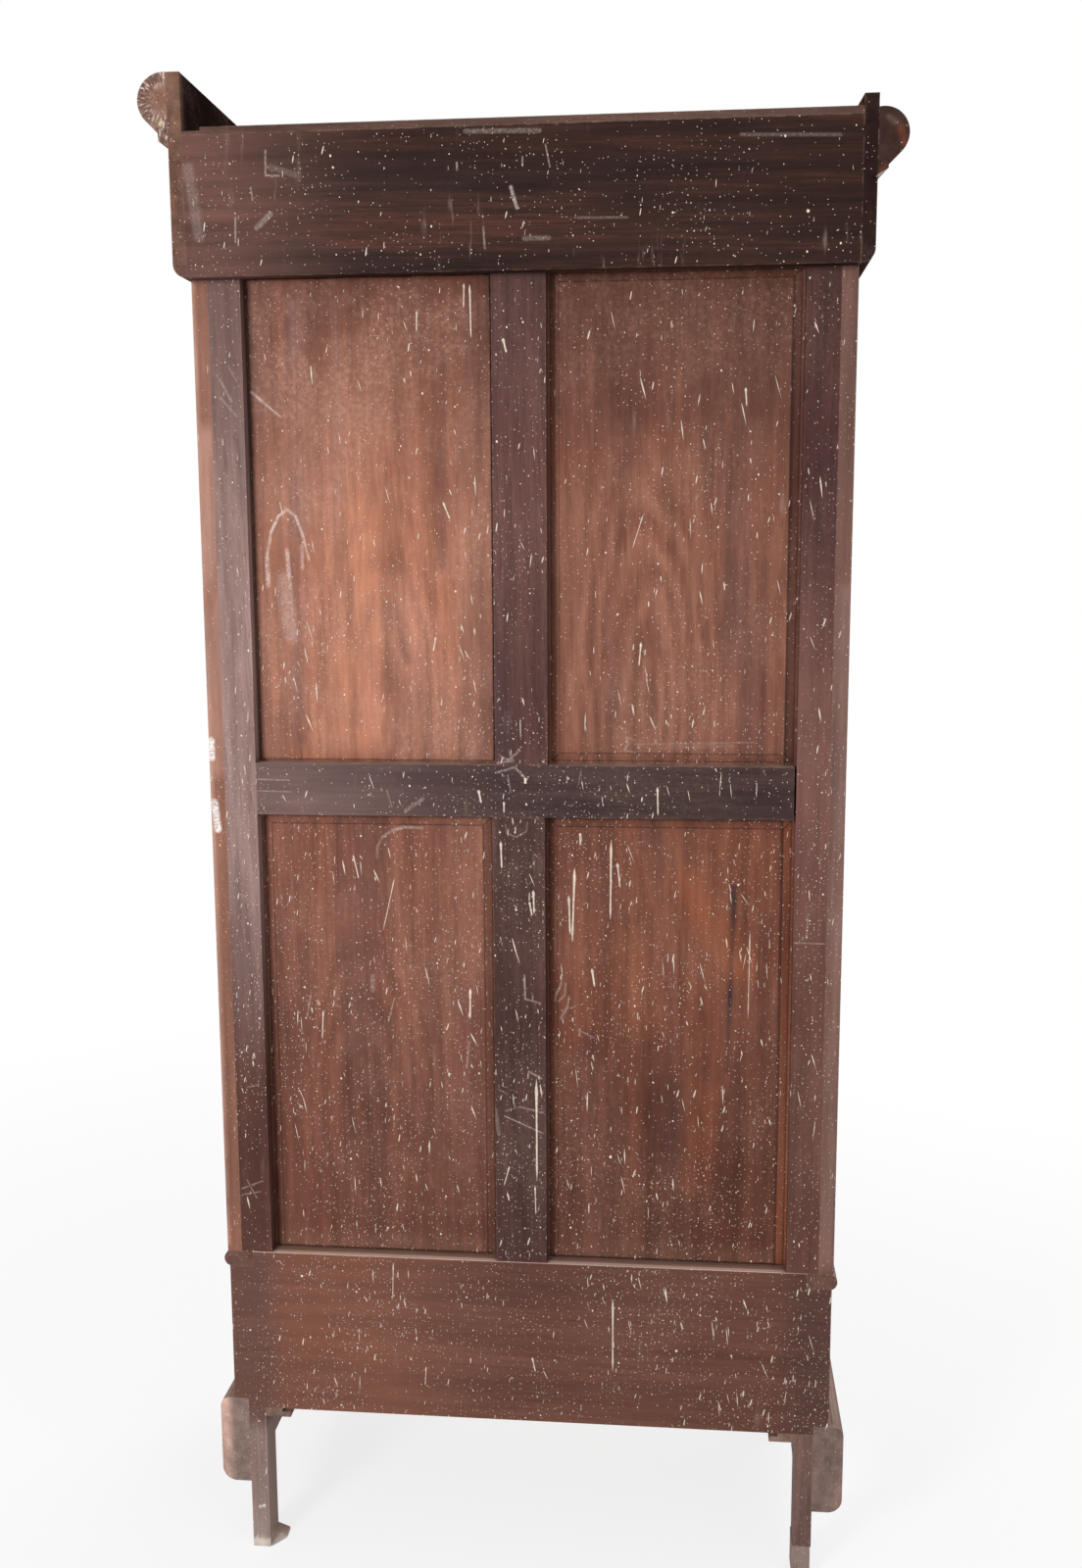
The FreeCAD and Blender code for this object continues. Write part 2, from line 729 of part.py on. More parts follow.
def make_legs():
    """Makes two rear slab legs and two mitred pairs of slabs at the front."""
    runner_foot = moulding_top - d.runner_thickness
    leg_inner = base_inner - d.leg_thickness
    for name, sign in SIDES:
        slab_x = mirrored(sign, leg_inner, base_inner)
        outline = leg_outline(back_face, -1, moulding_top + d.leg_upstand, True)
        slab = extrude("x", outline, slab_x)
        if name == "left":
            rear_leg = splice_foot(slab, slab_x)
        else:
            toe_end = back_face - d.leg_width + d.toe_setback
            toe = side_toe(sign, leg_inner, back_face - d.toe_setback, toe_end, False)
            rear_leg = join(slab, toe)
        finish_piece(f"rear_leg_{name}", rear_leg)

        corner_y = front_face + d.base_side_thickness
        side_slab = extrude("x", leg_outline(corner_y, 1, runner_foot, False), slab_x)
        toe_start = corner_y + d.leg_thickness + d.toe_setback
        toe = side_toe(sign, leg_inner, toe_start, corner_y + d.leg_width, True)
        side_slab = join(side_slab, toe)
        front_corners = leg_outline(base_inner, -1, runner_foot, False)
        front_corners = [mirror_corner(corner, sign) for corner in front_corners]
        front_slab = extrude("y", front_corners, (corner_y, corner_y + d.leg_thickness))
        pair = together(
            cut(side_slab, mitre_tool(sign, False)),
            cut(front_slab, mitre_tool(sign, True)),
        )
        finish_piece(f"front_leg_{name}", pair)


def splice_foot(slab, slab_x):
    """Returns the left rear leg with its foot replaced by a block set slightly inwards."""
    shank_y = (back_face - d.leg_width, back_face)
    height = (floor, d.splice_height)
    foot_x = (slab_x[0] + d.splice_step, slab_x[1] + d.splice_step)
    return together(cut(slab, block(slab_x, shank_y, height)), block(foot_x, shank_y, height))


def side_toe(sign, inner_face, start_y, end_y, to_rear):
    """Returns the low toe that spreads the foot of a leg inwards.

    It widens from start_y to halfway, then runs level to end_y.
    """
    middle_y = (start_y + end_y) / 2
    start_tip = d.toe_start_height / 2
    narrow = toe_outline(sign, inner_face, d.toe_start_reach, d.toe_start_height, start_tip)
    wide = toe_outline(sign, inner_face, d.toe_reach, d.toe_height, d.toe_tip_height)
    if to_rear:
        widening = blend_along(wide, narrow, (start_y, middle_y))
        return join(widening, extrude("y", wide, (middle_y, end_y)))
    widening = blend_along(narrow, wide, (middle_y, start_y))
    return join(widening, extrude("y", wide, (end_y, middle_y)))


def toe_outline(sign, inner_face, reach, height, tip_height):
    """Returns the outline of a toe, which slopes down to its tip, as (x, z) corners."""
    tip = (inner_face - reach) * sign
    root = inner_face * sign
    return [(tip, floor), (root, floor), (root, height), (tip, tip_height)]


def mirror_corner(corner, sign):
    """Returns an outline corner on the left (-1) or right (+1) side."""
    if isinstance(corner, Curve):
        x, y = corner.point
        return Curve(x * sign, y, corner.radius, corner.clockwise != (sign < 0))
    return (corner[0] * sign, corner[1])


# ---------------------------------------------------------------------------------------
# Cornice
# ---------------------------------------------------------------------------------------


def make_cornice():
    """Makes the cornice boards, the half-round roll planted on them and the dust board."""
    finish_piece(
        "cornice_back_board",
        block((-half_width, half_width), (back_face, cornice_rear), (cornice_foot, case_top)),
    )
    dust_top = case_top + d.dust_board_thickness
    dust_board = block(
        (-half_width, half_width), (front_face, cornice_rear), (case_top, dust_top)
    )
    worn_corner = block(
        (half_width - d.dust_notch_width, half_width),
        (cornice_rear - d.dust_notch_length, cornice_rear),
        (dust_top - d.dust_notch_drop, dust_top),
    )
    finish_piece("dust_board", cut(dust_board, worn_corner))

    thickness, edge_round = d.cornice_thickness, d.cornice_edge_round
    board_profile = [
        (Size.of(0), cornice_foot),
        Curve(thickness - edge_round, cornice_foot, edge_round),
        (thickness, cornice_foot + edge_round),
        (thickness, cornice_top),
        (Size.of(0), cornice_top),
    ]
    finish_piece("cornice_side_right", run_beside(1, board_profile, cornice_rear))
    finish_piece("cornice_front_board", run_across(board_profile))

    # The left board is planed down towards the rear.
    left_board = run_beside(-1, board_profile, cornice_rear)
    waste = [
        (front_face - thickness, cornice_top),
        (cornice_rear, cornice_top - d.left_board_drop),
        (cornice_rear, cornice_top + OVERSIZE),
        (front_face - thickness, cornice_top + OVERSIZE),
    ]
    board_span = (-half_width - thickness, -half_width)
    finish_piece("cornice_side_left", cut(left_board, extrude("x", waste, board_span)))

    finish_piece("cornice_roll_right", run_beside(1, roll_profile(Size.of(0)), cornice_rear))
    finish_piece("cornice_roll_front", run_across(roll_profile(Size.of(0))))

    # The left roll follows its board: it falls from the mitre to a low, thinner rear end.
    mitre_middle = front_face - thickness - roll_projection / 2
    fall = d.left_roll_drop / (cornice_rear - mitre_middle)
    front_rise = fall * (roll_projection / 2)
    rear_profile = roll_profile(
        d.left_roll_drop, d.left_roll_radius, d.left_roll_standoff, d.left_roll_fillet
    )
    roll = run_beside(-1, rear_profile, cornice_rear, roll_profile(-front_rise))
    finish_piece("cornice_roll_left", roll)


def roll_profile(drop, radius=None, standoff=None, fillet=None):
    """Returns the half-round roll with the sloped neck and the fillet below it."""
    radius, standoff = radius or d.roll_radius, standoff or d.roll_standoff
    fillet = fillet or d.roll_fillet
    board = d.cornice_thickness
    centre_x = board + standoff
    flat = (radius * radius - standoff * standoff).root()
    centre_z = cornice_top - flat - drop
    diagonal = Size.of(math.sqrt(0.5))
    neck_x = centre_x + radius * diagonal
    neck_z = centre_z - radius * diagonal
    neck_step = d.roll_neck * diagonal
    fillet_z = neck_z - neck_step - fillet
    return [
        (board, fillet_z - d.roll_foot),
        (neck_x - neck_step, fillet_z),
        (neck_x - neck_step, neck_z - neck_step),
        Curve(neck_x, neck_z, radius),
        Curve(centre_x + radius, centre_z, radius),
        (board, centre_z + flat),
    ]


# ---------------------------------------------------------------------------------------
# Upper case: sides and shelves
# ---------------------------------------------------------------------------------------
leaf_span = (front_face, front_face + d.leaf_width)
door_low = waist_top + d.door_gap
door_high = cornice_foot - d.door_gap
door_rear = front_face + d.door_thickness


def hinge_levels():
    """Returns the middle height of each hinge of a door."""
    low = door_low + d.hinge_end_distance
    high = door_high - d.hinge_end_distance
    steps = HINGES_PER_DOOR - 1
    return [low + (high - low) * step / steps for step in range(HINGES_PER_DOOR)]


def make_case():
    """Makes the case sides, housed for the shelves and hinges, and the shelves."""
    shelf_front = door_rear + d.lock_depth + d.shelf_setback
    shelf_y = (shelf_front, frame_front)
    shelf_reach = side_inner + d.shelf_housing
    # The middle shelf meets the mid rail of the back, and the others halve the spaces left.
    middle_top = waist_top + d.mid_rail_height + d.mid_rail_width / 2
    tops = ((waist_top + middle_top) / 2, middle_top, (middle_top + cornice_foot) / 2)
    levels = [(top - d.shelf_thickness, top) for top in tops]
    for name, sign in SIDES:
        side = block(
            mirrored(sign, side_inner, half_width), (front_face, back_face),
            (waist_top, case_top),
        )
        housings = [
            block(mirrored(sign, side_inner, shelf_reach), shelf_y, level) for level in levels
        ]
        leaf_x = mirrored(sign, side_inner, side_inner + d.leaf_thickness)
        for middle in hinge_levels():
            span = (middle - d.hinge_length / 2, middle + d.hinge_length / 2)
            housings.append(block(leaf_x, leaf_span, span))
        finish_piece(f"case_side_{name}", cut(side, *housings))
    for name, level in zip(SHELF_NAMES, levels):
        finish_piece(name, block((-shelf_reach, shelf_reach), shelf_y, level))


# ---------------------------------------------------------------------------------------
# Doors, hinges, lock
# ---------------------------------------------------------------------------------------
door_outer = side_inner - d.door_gap
door_meeting = d.door_gap / 2
hinge_x = side_inner - d.door_gap / 2
hinge_y = front_face - d.knuckle_radius - d.knuckle_standoff
lock_level = waist_top + d.lock_height
key_x = door_meeting + d.lock_edge_distance + d.lock_length / 2


def make_doors():
    """Makes two framed doors, each with one tall raised panel."""
    tongue_low = front_face + d.door_field_depth + d.door_field_raise
    tongue_y = (tongue_low, tongue_low + d.tongue_thickness)
    through = (front_face, door_rear)
    rails = {
        "top": (door_high - d.door_top_rail_width, door_high),
        "bottom": (door_low, door_low + d.door_bottom_rail_width),
    }
    panel_z = (rails["bottom"][1], rails["top"][0])
    panel_x = (door_meeting + d.door_stile_width, door_outer - d.door_stile_width)
    shoulder = d.door_tenon_shoulder
    for name, sign in SIDES:
        stiles = {
            "hinge": (panel_x[1], door_outer, panel_x[1], 1),
            "meeting": (door_meeting, panel_x[0], panel_x[0], -1),
        }
        for stile_name, (low, high, inner_edge, outward) in stiles.items():
            stile = block(mirrored(sign, low, high), through, (door_low, door_high))
            cuts = []
            groove = sorted_span(inner_edge, inner_edge + outward * d.groove_depth)
            cuts.append(block(mirrored(sign, *groove), tongue_y, (door_low, door_high)))
            mortise = sorted_span(inner_edge, inner_edge + outward * d.door_tenon_length)
            for rail_low, rail_high in rails.values():
                mortise_z = (rail_low + shoulder, rail_high - shoulder)
                cuts.append(block(mirrored(sign, *mortise), tongue_y, mortise_z))
            if stile_name == "hinge":
                leaf_x = mirrored(sign, door_outer - d.leaf_thickness, door_outer)
                for middle in hinge_levels():
                    span = (middle - d.hinge_length / 2, middle + d.hinge_length / 2)
                    cuts.append(block(leaf_x, leaf_span, span))
            elif sign > 0:
                cuts += keyhole((front_face, door_rear))
            finish_piece(f"door_{name}_{stile_name}_stile", cut(stile, *cuts))

        for rail_name, (low, high) in rails.items():
            stub = (panel_x[0] - d.groove_depth, panel_x[1] + d.groove_depth)
            tenon = (panel_x[0] - d.door_tenon_length, panel_x[1] + d.door_tenon_length)
            rail = join(
                block(mirrored(sign, *panel_x), through, (low, high)),
                block(mirrored(sign, *stub), tongue_y, (low, high)),
                block(mirrored(sign, *tenon), tongue_y, (low + shoulder, high - shoulder)),
            )
            if rail_name == "top":
                groove_z = (low, low + d.groove_depth)
            else:
                groove_z = (high - d.groove_depth, high)
            groove = block(mirrored(sign, *stub), tongue_y, groove_z)
            finish_piece(f"door_{name}_{rail_name}_rail", cut(rail, groove))

        reach_in = d.groove_depth - d.panel_play
        tongue = block(
            mirrored(sign, panel_x[0] - reach_in, panel_x[1] + reach_in),
            tongue_y,
            (panel_z[0] - reach_in, panel_z[1] + reach_in),
        )
        margin = d.panel_margin
        field_y = (front_face + d.door_field_depth, tongue_low)
        field = frustum(
            mirrored(sign, panel_x[0] + margin, panel_x[1] - margin),
            field_y,
            (panel_z[0] + margin, panel_z[1] - margin),
            (d.door_bevel_width,) * 4,
            -1,
        )
        finish_piece(f"door_{name}_panel", join(tongue, field))


def sorted_span(first, second):
    """Returns two positions as a (low, high) span."""
    return (first, second) if first.value < second.value else (second, first)


def keyhole(span_y):
    """Returns the round hole and the slot of the keyhole, over a depth of the door."""
    radius = d.key_radius + d.key_fit
    hole = rod("y", (key_x, span_y[0], lock_level), radius, span_y[1] - span_y[0])
    half_slot = d.key_bit_thickness / 2 + d.key_fit
    slot = block(
        (key_x - half_slot, key_x + half_slot),
        span_y,
        (lock_level - d.key_bit_radius - d.key_fit, lock_level),
    )
    return [hole, slot]


def make_hinges():
    """Makes the butt hinges: case leaves with their pins, and the leaves of each door."""
    knuckle = d.hinge_length / 3
    case_parts = []
    for name, sign in SIDES:
        door_parts = []
        axis_x = hinge_x * sign
        case_x = mirrored(sign, side_inner, side_inner + d.leaf_thickness)
        door_x = mirrored(sign, door_outer - d.leaf_thickness, door_outer)
        for middle in hinge_levels():
            foot = middle - d.hinge_length / 2
            top = middle + d.hinge_length / 2
            low_knuckle = (foot, foot + knuckle - d.knuckle_gap / 2)
            high_knuckle = (top - knuckle + d.knuckle_gap / 2, top)
            mid_knuckle = (foot + knuckle + d.knuckle_gap / 2,
                           top - knuckle - d.knuckle_gap / 2)
            case_leaf = leaf(axis_x, case_x, (foot, top), [low_knuckle, high_knuckle],
                             d.pin_radius)
            door_leaf = leaf(axis_x, door_x, (foot, top), [mid_knuckle],
                             d.pin_radius + d.pin_fit)
            pin = rod("z", (axis_x, hinge_y, foot), d.pin_radius, top - foot)
            case_parts += [case_leaf, pin]
            door_parts.append(door_leaf)
        finish_piece(f"hinge_leaves_door_{name}", together(*door_parts))
    finish_piece("hinge_leaves_and_pins_case", together(*case_parts))


def leaf(axis_x, leaf_x, leaf_z, knuckles, bore_radius):
    """Returns a hinge leaf with its knuckles, bored for the pin."""
    parts = [block(leaf_x, leaf_span, leaf_z)]
    for low, high in knuckles:
        parts.append(rod("z", (axis_x, hinge_y, low), d.knuckle_radius, high - low))
        parts.append(block(leaf_x, (hinge_y, front_face), (low, high)))
    bore = rod("z", (axis_x, hinge_y, leaf_z[0]), bore_radius, leaf_z[1] - leaf_z[0])
    return cut(join(*parts), bore)


def make_lock():
    """Makes the rim lock of the right door: case, sliding bolt and key."""
    wall = d.lock_wall
    case_x = (door_meeting + d.lock_edge_distance,
              door_meeting + d.lock_edge_distance + d.lock_length)
    case_y = (door_rear, door_rear + d.lock_depth)
    case_z = (lock_level - d.lock_width / 2, lock_level + d.lock_width / 2)
    bolt_z = (lock_level + d.bolt_rise, lock_level + d.bolt_rise + d.bolt_height)
    bolt_middle = door_rear + (d.lock_depth - wall) / 2
    bolt_y = (bolt_middle - d.bolt_thickness / 2, bolt_middle + d.bolt_thickness / 2)
    case = block(case_x, case_y, case_z)
    cavity = block(
        (case_x[0] + wall, case_x[1] - wall),
        (case_y[0], case_y[1] - wall),
        (case_z[0] + wall, case_z[1] - wall),
    )
    fit = d.bolt_fit
    slot = block(
        (case_x[0], case_x[0] + wall),
        (bolt_y[0] - fit, bolt_y[1] + fit),
        (bolt_z[0] - fit, bolt_z[1] + fit),
    )
    finish_piece("lock_case", cut(case, cavity, slot))

    bolt_x = (case_x[0] + fit, case_x[0] + fit + d.bolt_length)
    talon_right = bolt_x[1] - wall
    talon = block(
        (talon_right - d.talon_width, talon_right),
        bolt_y,
        (bolt_z[0], bolt_z[0] + d.talon_depth),
    )
    finish_piece("lock_bolt", cut(block(bolt_x, bolt_y, bolt_z), talon))

    shank_front = front_face - d.key_reach + d.key_bow_radius
    shank_rear = bolt_y[1]
    shank = rod("y", (key_x, shank_front, lock_level), d.key_radius, shank_rear - shank_front)
    bit = block(
        (key_x - d.key_bit_thickness / 2, key_x + d.key_bit_thickness / 2),
        (bolt_middle - d.key_bit_width / 2, bolt_middle + d.key_bit_width / 2),
        (lock_level - d.key_bit_radius, lock_level),
    )
    bow = document.addObject("Part::Torus", "bow")
    bow.Placement = FreeCAD.Placement(FreeCAD.Vector(), AXIS_TURNS["x"])
    bind(bow, "Radius1", d.key_bow_radius)
    bind(bow, "Radius2", d.key_bow_wire)
    place(bow, key_x, shank_front - d.key_bow_radius, lock_level)
    finish_piece("key", join(shank, bit, bow))


# ---------------------------------------------------------------------------------------
# Drawer
# ---------------------------------------------------------------------------------------


def make_drawer():
    """Makes the dovetailed drawer, its knobs and the runners it slides on."""
    front_rear = front_face + d.drawer_front_thickness
    front_x = base_inner - d.drawer_gap
    front_z = (moulding_top + d.drawer_gap, waist_foot - d.drawer_gap)
    side_x = (front_x - d.drawer_side_thickness, front_x)
    foot = moulding_top + d.drawer_slide_gap
    top = foot + d.drawer_side_height
    rear = back_face - d.leg_head_width - d.drawer_rear_gap
    bottom_z = (foot + d.drawer_bottom_rise,
                foot + d.drawer_bottom_rise + d.drawer_bottom_thickness)
    groove_x = side_x[0] + d.drawer_groove
    bottom_groove = block(
        (-side_x[0], side_x[0]), (front_rear - d.drawer_groove, front_rear), bottom_z
    )
    knob_level = (front_z[0] + front_z[1]) / 2
    knob_x = front_x - d.knob_inset
    front_cuts = [bottom_groove]
    for _, sign in SIDES:
        front_cuts += dovetails(sign, side_x, front_rear, front_z[0], top)
        hole_place = (knob_x * sign, front_face, knob_level)
        hole_length = d.drawer_front_thickness
        front_cuts.append(rod("y", hole_place, d.knob_spigot_radius, hole_length))
    front = block((-front_x, front_x), (front_face, front_rear), front_z)
    finish_piece("drawer_front", cut(front, *front_cuts))

    for name, sign in SIDES:
        side = block(mirrored(sign, *side_x), (front_rear, rear), (foot, top))
        tails = dovetails(sign, side_x, front_rear, front_z[0], top)
        groove = block(mirrored(sign, side_x[0], groove_x), (front_rear, rear), bottom_z)
        housing = block(
            mirrored(sign, side_x[0], groove_x),
            (rear - 2 * d.drawer_side_thickness, rear - d.drawer_side_thickness),
            (bottom_z[1], top),
        )
        finish_piece(f"drawer_side_{name}", cut(join(side, *tails), groove, housing))

    back_y = (rear - 2 * d.drawer_side_thickness, rear - d.drawer_side_thickness)
    finish_piece("drawer_back", block((-groove_x, groove_x), back_y, (bottom_z[1], top)))
    bottom = join(
        block((-groove_x, groove_x), (front_rear, rear), bottom_z),
        block((-side_x[0], side_x[0]), (front_rear - d.drawer_groove, front_rear), bottom_z),
    )
    finish_piece("drawer_bottom", bottom)
    knobs = [knob((knob_x * sign, knob_level)) for _, sign in SIDES]
    finish_piece("drawer_knobs", together(*knobs))

    runners = []
    runner_z = (moulding_top - d.runner_thickness, moulding_top)
    runner_x = (base_inner - d.runner_width, base_inner)
    for _, sign in SIDES:
        runner = block(
            mirrored(sign, *runner_x), (front_face + d.base_side_thickness, back_face),
            runner_z,
        )
        leg_notch = block(
            mirrored(sign, base_inner - d.leg_thickness, base_inner),
            (back_face - d.leg_head_width, back_face),
            runner_z,
        )
        board_rebate = block(
            mirrored(sign, *runner_x), (base_board_front, back_face),
            (base_board_foot, moulding_top),
        )
        inner_rebate = block(
            mirrored(sign, runner_x[0], runner_x[0] + d.runner_rebate_width),
            (front_face + d.base_side_thickness, back_face),
            (moulding_top - d.runner_rebate_depth, moulding_top),
        )
        runners.append(cut(runner, leg_notch, board_rebate, inner_rebate))
    finish_piece("drawer_runners", together(*runners))


def dovetails(sign, side_x, front_rear, low, high):
    """Returns the tails of one front corner, spread evenly up the drawer side."""
    tip = front_rear - d.dovetail_length
    pitch = (high - low) / DOVETAILS_PER_CORNER
    half_root = d.dovetail_root / 2
    half_tip = half_root + d.dovetail_flare
    tails = []
    for number in range(DOVETAILS_PER_CORNER):
        middle = low + pitch * (number + 0.5)
        corners = [
            (tip, middle - half_tip),
            (front_rear, middle - half_root),
            (front_rear, middle + half_root),
            (tip, middle + half_tip),
        ]
        tails.append(extrude("x", corners, mirrored(sign, *side_x)))
    return tails


def knob(centre):
    """Returns a turned knob with its spigot through the drawer front."""
    inner = front_face + d.drawer_front_thickness
    head = front_face - d.knob_length
    neck, radius = d.knob_neck_radius, d.knob_radius
    collar = radius * KNOB_COLLAR_SHARE
    axis = Size.of(0)
    corners = [
        (axis, inner),
        (axis, head),
        Curve(radius * KNOB_FACE_SHARE, head, radius * KNOB_ROUND_SHARE, clockwise=False),
        (radius, head + d.knob_length * KNOB_RIM_START_SHARE),
        (radius * KNOB_RIM_SHARE, head + d.knob_length * KNOB_RIM_END_SHARE),
        (neck, head + d.knob_length * KNOB_HEAD_SHARE),
        (neck, front_face - d.knob_length * KNOB_FLARE_SHARE),
        (collar, front_face - d.knob_length * KNOB_COLLAR_END_SHARE),
        (collar, front_face),
        (d.knob_spigot_radius, front_face),
        (d.knob_spigot_radius, inner),
    ]
    return turned_profile(corners, centre)


# ---------------------------------------------------------------------------------------
# Build, check and write
# ---------------------------------------------------------------------------------------


def check_document():
    """Stops if any object failed, any tool cuts nothing or any piece has no valid shape."""
    for item in document.Objects:
        if {"Invalid", "Error"} & set(item.State):
            raise RuntimeError(f"{item.Name} ({item.Label}) did not build: {item.State}")
        if item.TypeId == "Part::Cut":
            tools = getattr(item.Tool, "Links", None) or [item.Tool]
            for tool in tools:
                if item.Base.Shape.common(tool.Shape).Volume < LEAST_CUT:
                    raise RuntimeError(f"{tool.Name} takes nothing out of {item.Label}")
    for name, item in pieces.items():
        shape = item.Shape
        if shape.isNull() or not shape.isValid() or not shape.Solids:
            raise RuntimeError(f"{name} has no valid solid")


def write_pieces():
    """Writes every piece to a STEP file named after its node."""
    os.makedirs("parts", exist_ok=True)
    for name, item in pieces.items():
        item.Shape.exportStep(os.path.join("parts", f"{name}.step"))
        box = item.Shape.BoundBox
        print(
            f"{name}: {len(item.Shape.Solids)} solid(s), "
            f"{box.XLength:.1f} x {box.YLength:.1f} x {box.ZLength:.1f}"
        )


make_back_frame()
make_base()
make_legs()
make_cornice()
make_case()
make_doors()
make_hinges()
make_lock()
make_drawer()
document.recompute()
check_document()
write_pieces()
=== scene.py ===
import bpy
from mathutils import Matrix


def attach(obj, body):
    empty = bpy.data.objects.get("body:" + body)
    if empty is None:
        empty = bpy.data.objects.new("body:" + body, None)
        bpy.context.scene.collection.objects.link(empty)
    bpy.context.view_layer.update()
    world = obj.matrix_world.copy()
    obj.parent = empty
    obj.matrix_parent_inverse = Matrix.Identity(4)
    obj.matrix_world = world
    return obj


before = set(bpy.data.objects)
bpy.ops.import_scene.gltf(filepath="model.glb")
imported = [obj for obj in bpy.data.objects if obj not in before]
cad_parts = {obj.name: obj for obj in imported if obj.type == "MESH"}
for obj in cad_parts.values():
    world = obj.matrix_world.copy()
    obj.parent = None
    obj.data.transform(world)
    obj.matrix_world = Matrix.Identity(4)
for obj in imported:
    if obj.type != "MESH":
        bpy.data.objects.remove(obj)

"""Dresses the kas: old hardwood, limewash splashes, dust, chalk, brass, floor, lamps and camera.

Metres, +Z up.  The doors face -Y and the panelled back faces +Y.
"""

import logging
import math
from dataclasses import dataclass, replace
from enum import Enum

import bpy
import numpy as np
from mathutils import Matrix, Vector

Colour = tuple[float, float, float]
Triple = tuple[float, float, float]
Socket = bpy.types.NodeSocket

LOG = logging.getLogger("kas")
MM = 0.001
BACK_FACE = 0.280
PANEL_FACE = 0.260
DOOR_FACE = -0.240
ZERO = (0.0, 0.0, 0.0)
ONE = (1.0, 1.0, 1.0)
CLOUD_MIDDLE = (0.3, 0.7)
FACING_REAR = (0.4, 0.9)
FACING_UP = (0.35, 0.85)


def linear(colour: Colour) -> tuple[float, float, float, float]:
    """Turns a display colour into the linear one that shaders use.

    Args:
        colour: Red, green and blue from 0 to 255.

    Returns:
        Linear red, green, blue and a full alpha.
    """
    share = np.asarray(colour, float) / 255.0
    low = share / 12.92
    high = ((share + 0.055) / 1.055) ** 2.4
    red, green, blue = np.where(share <= 0.04045, low, high)
    return (float(red), float(green), float(blue), 1.0)


def seed_of(name: str) -> float:
    """Returns a number from 0 to 1 that belongs to a name."""
    return (sum(ord(letter) * (place + 3) for place, letter in enumerate(name)) % 997) / 997.0


class Grain(Enum):
    """The way the fibres run, with the axis that they run along."""

    UPRIGHT = "Z"
    ACROSS = "X"
    DEEP = "Y"

    def squeeze(self, amount: float) -> Triple:
        """Returns a scale that draws a pattern out along the fibres."""
        return tuple(amount if axis == self.value else 1.0 for axis in "XYZ")


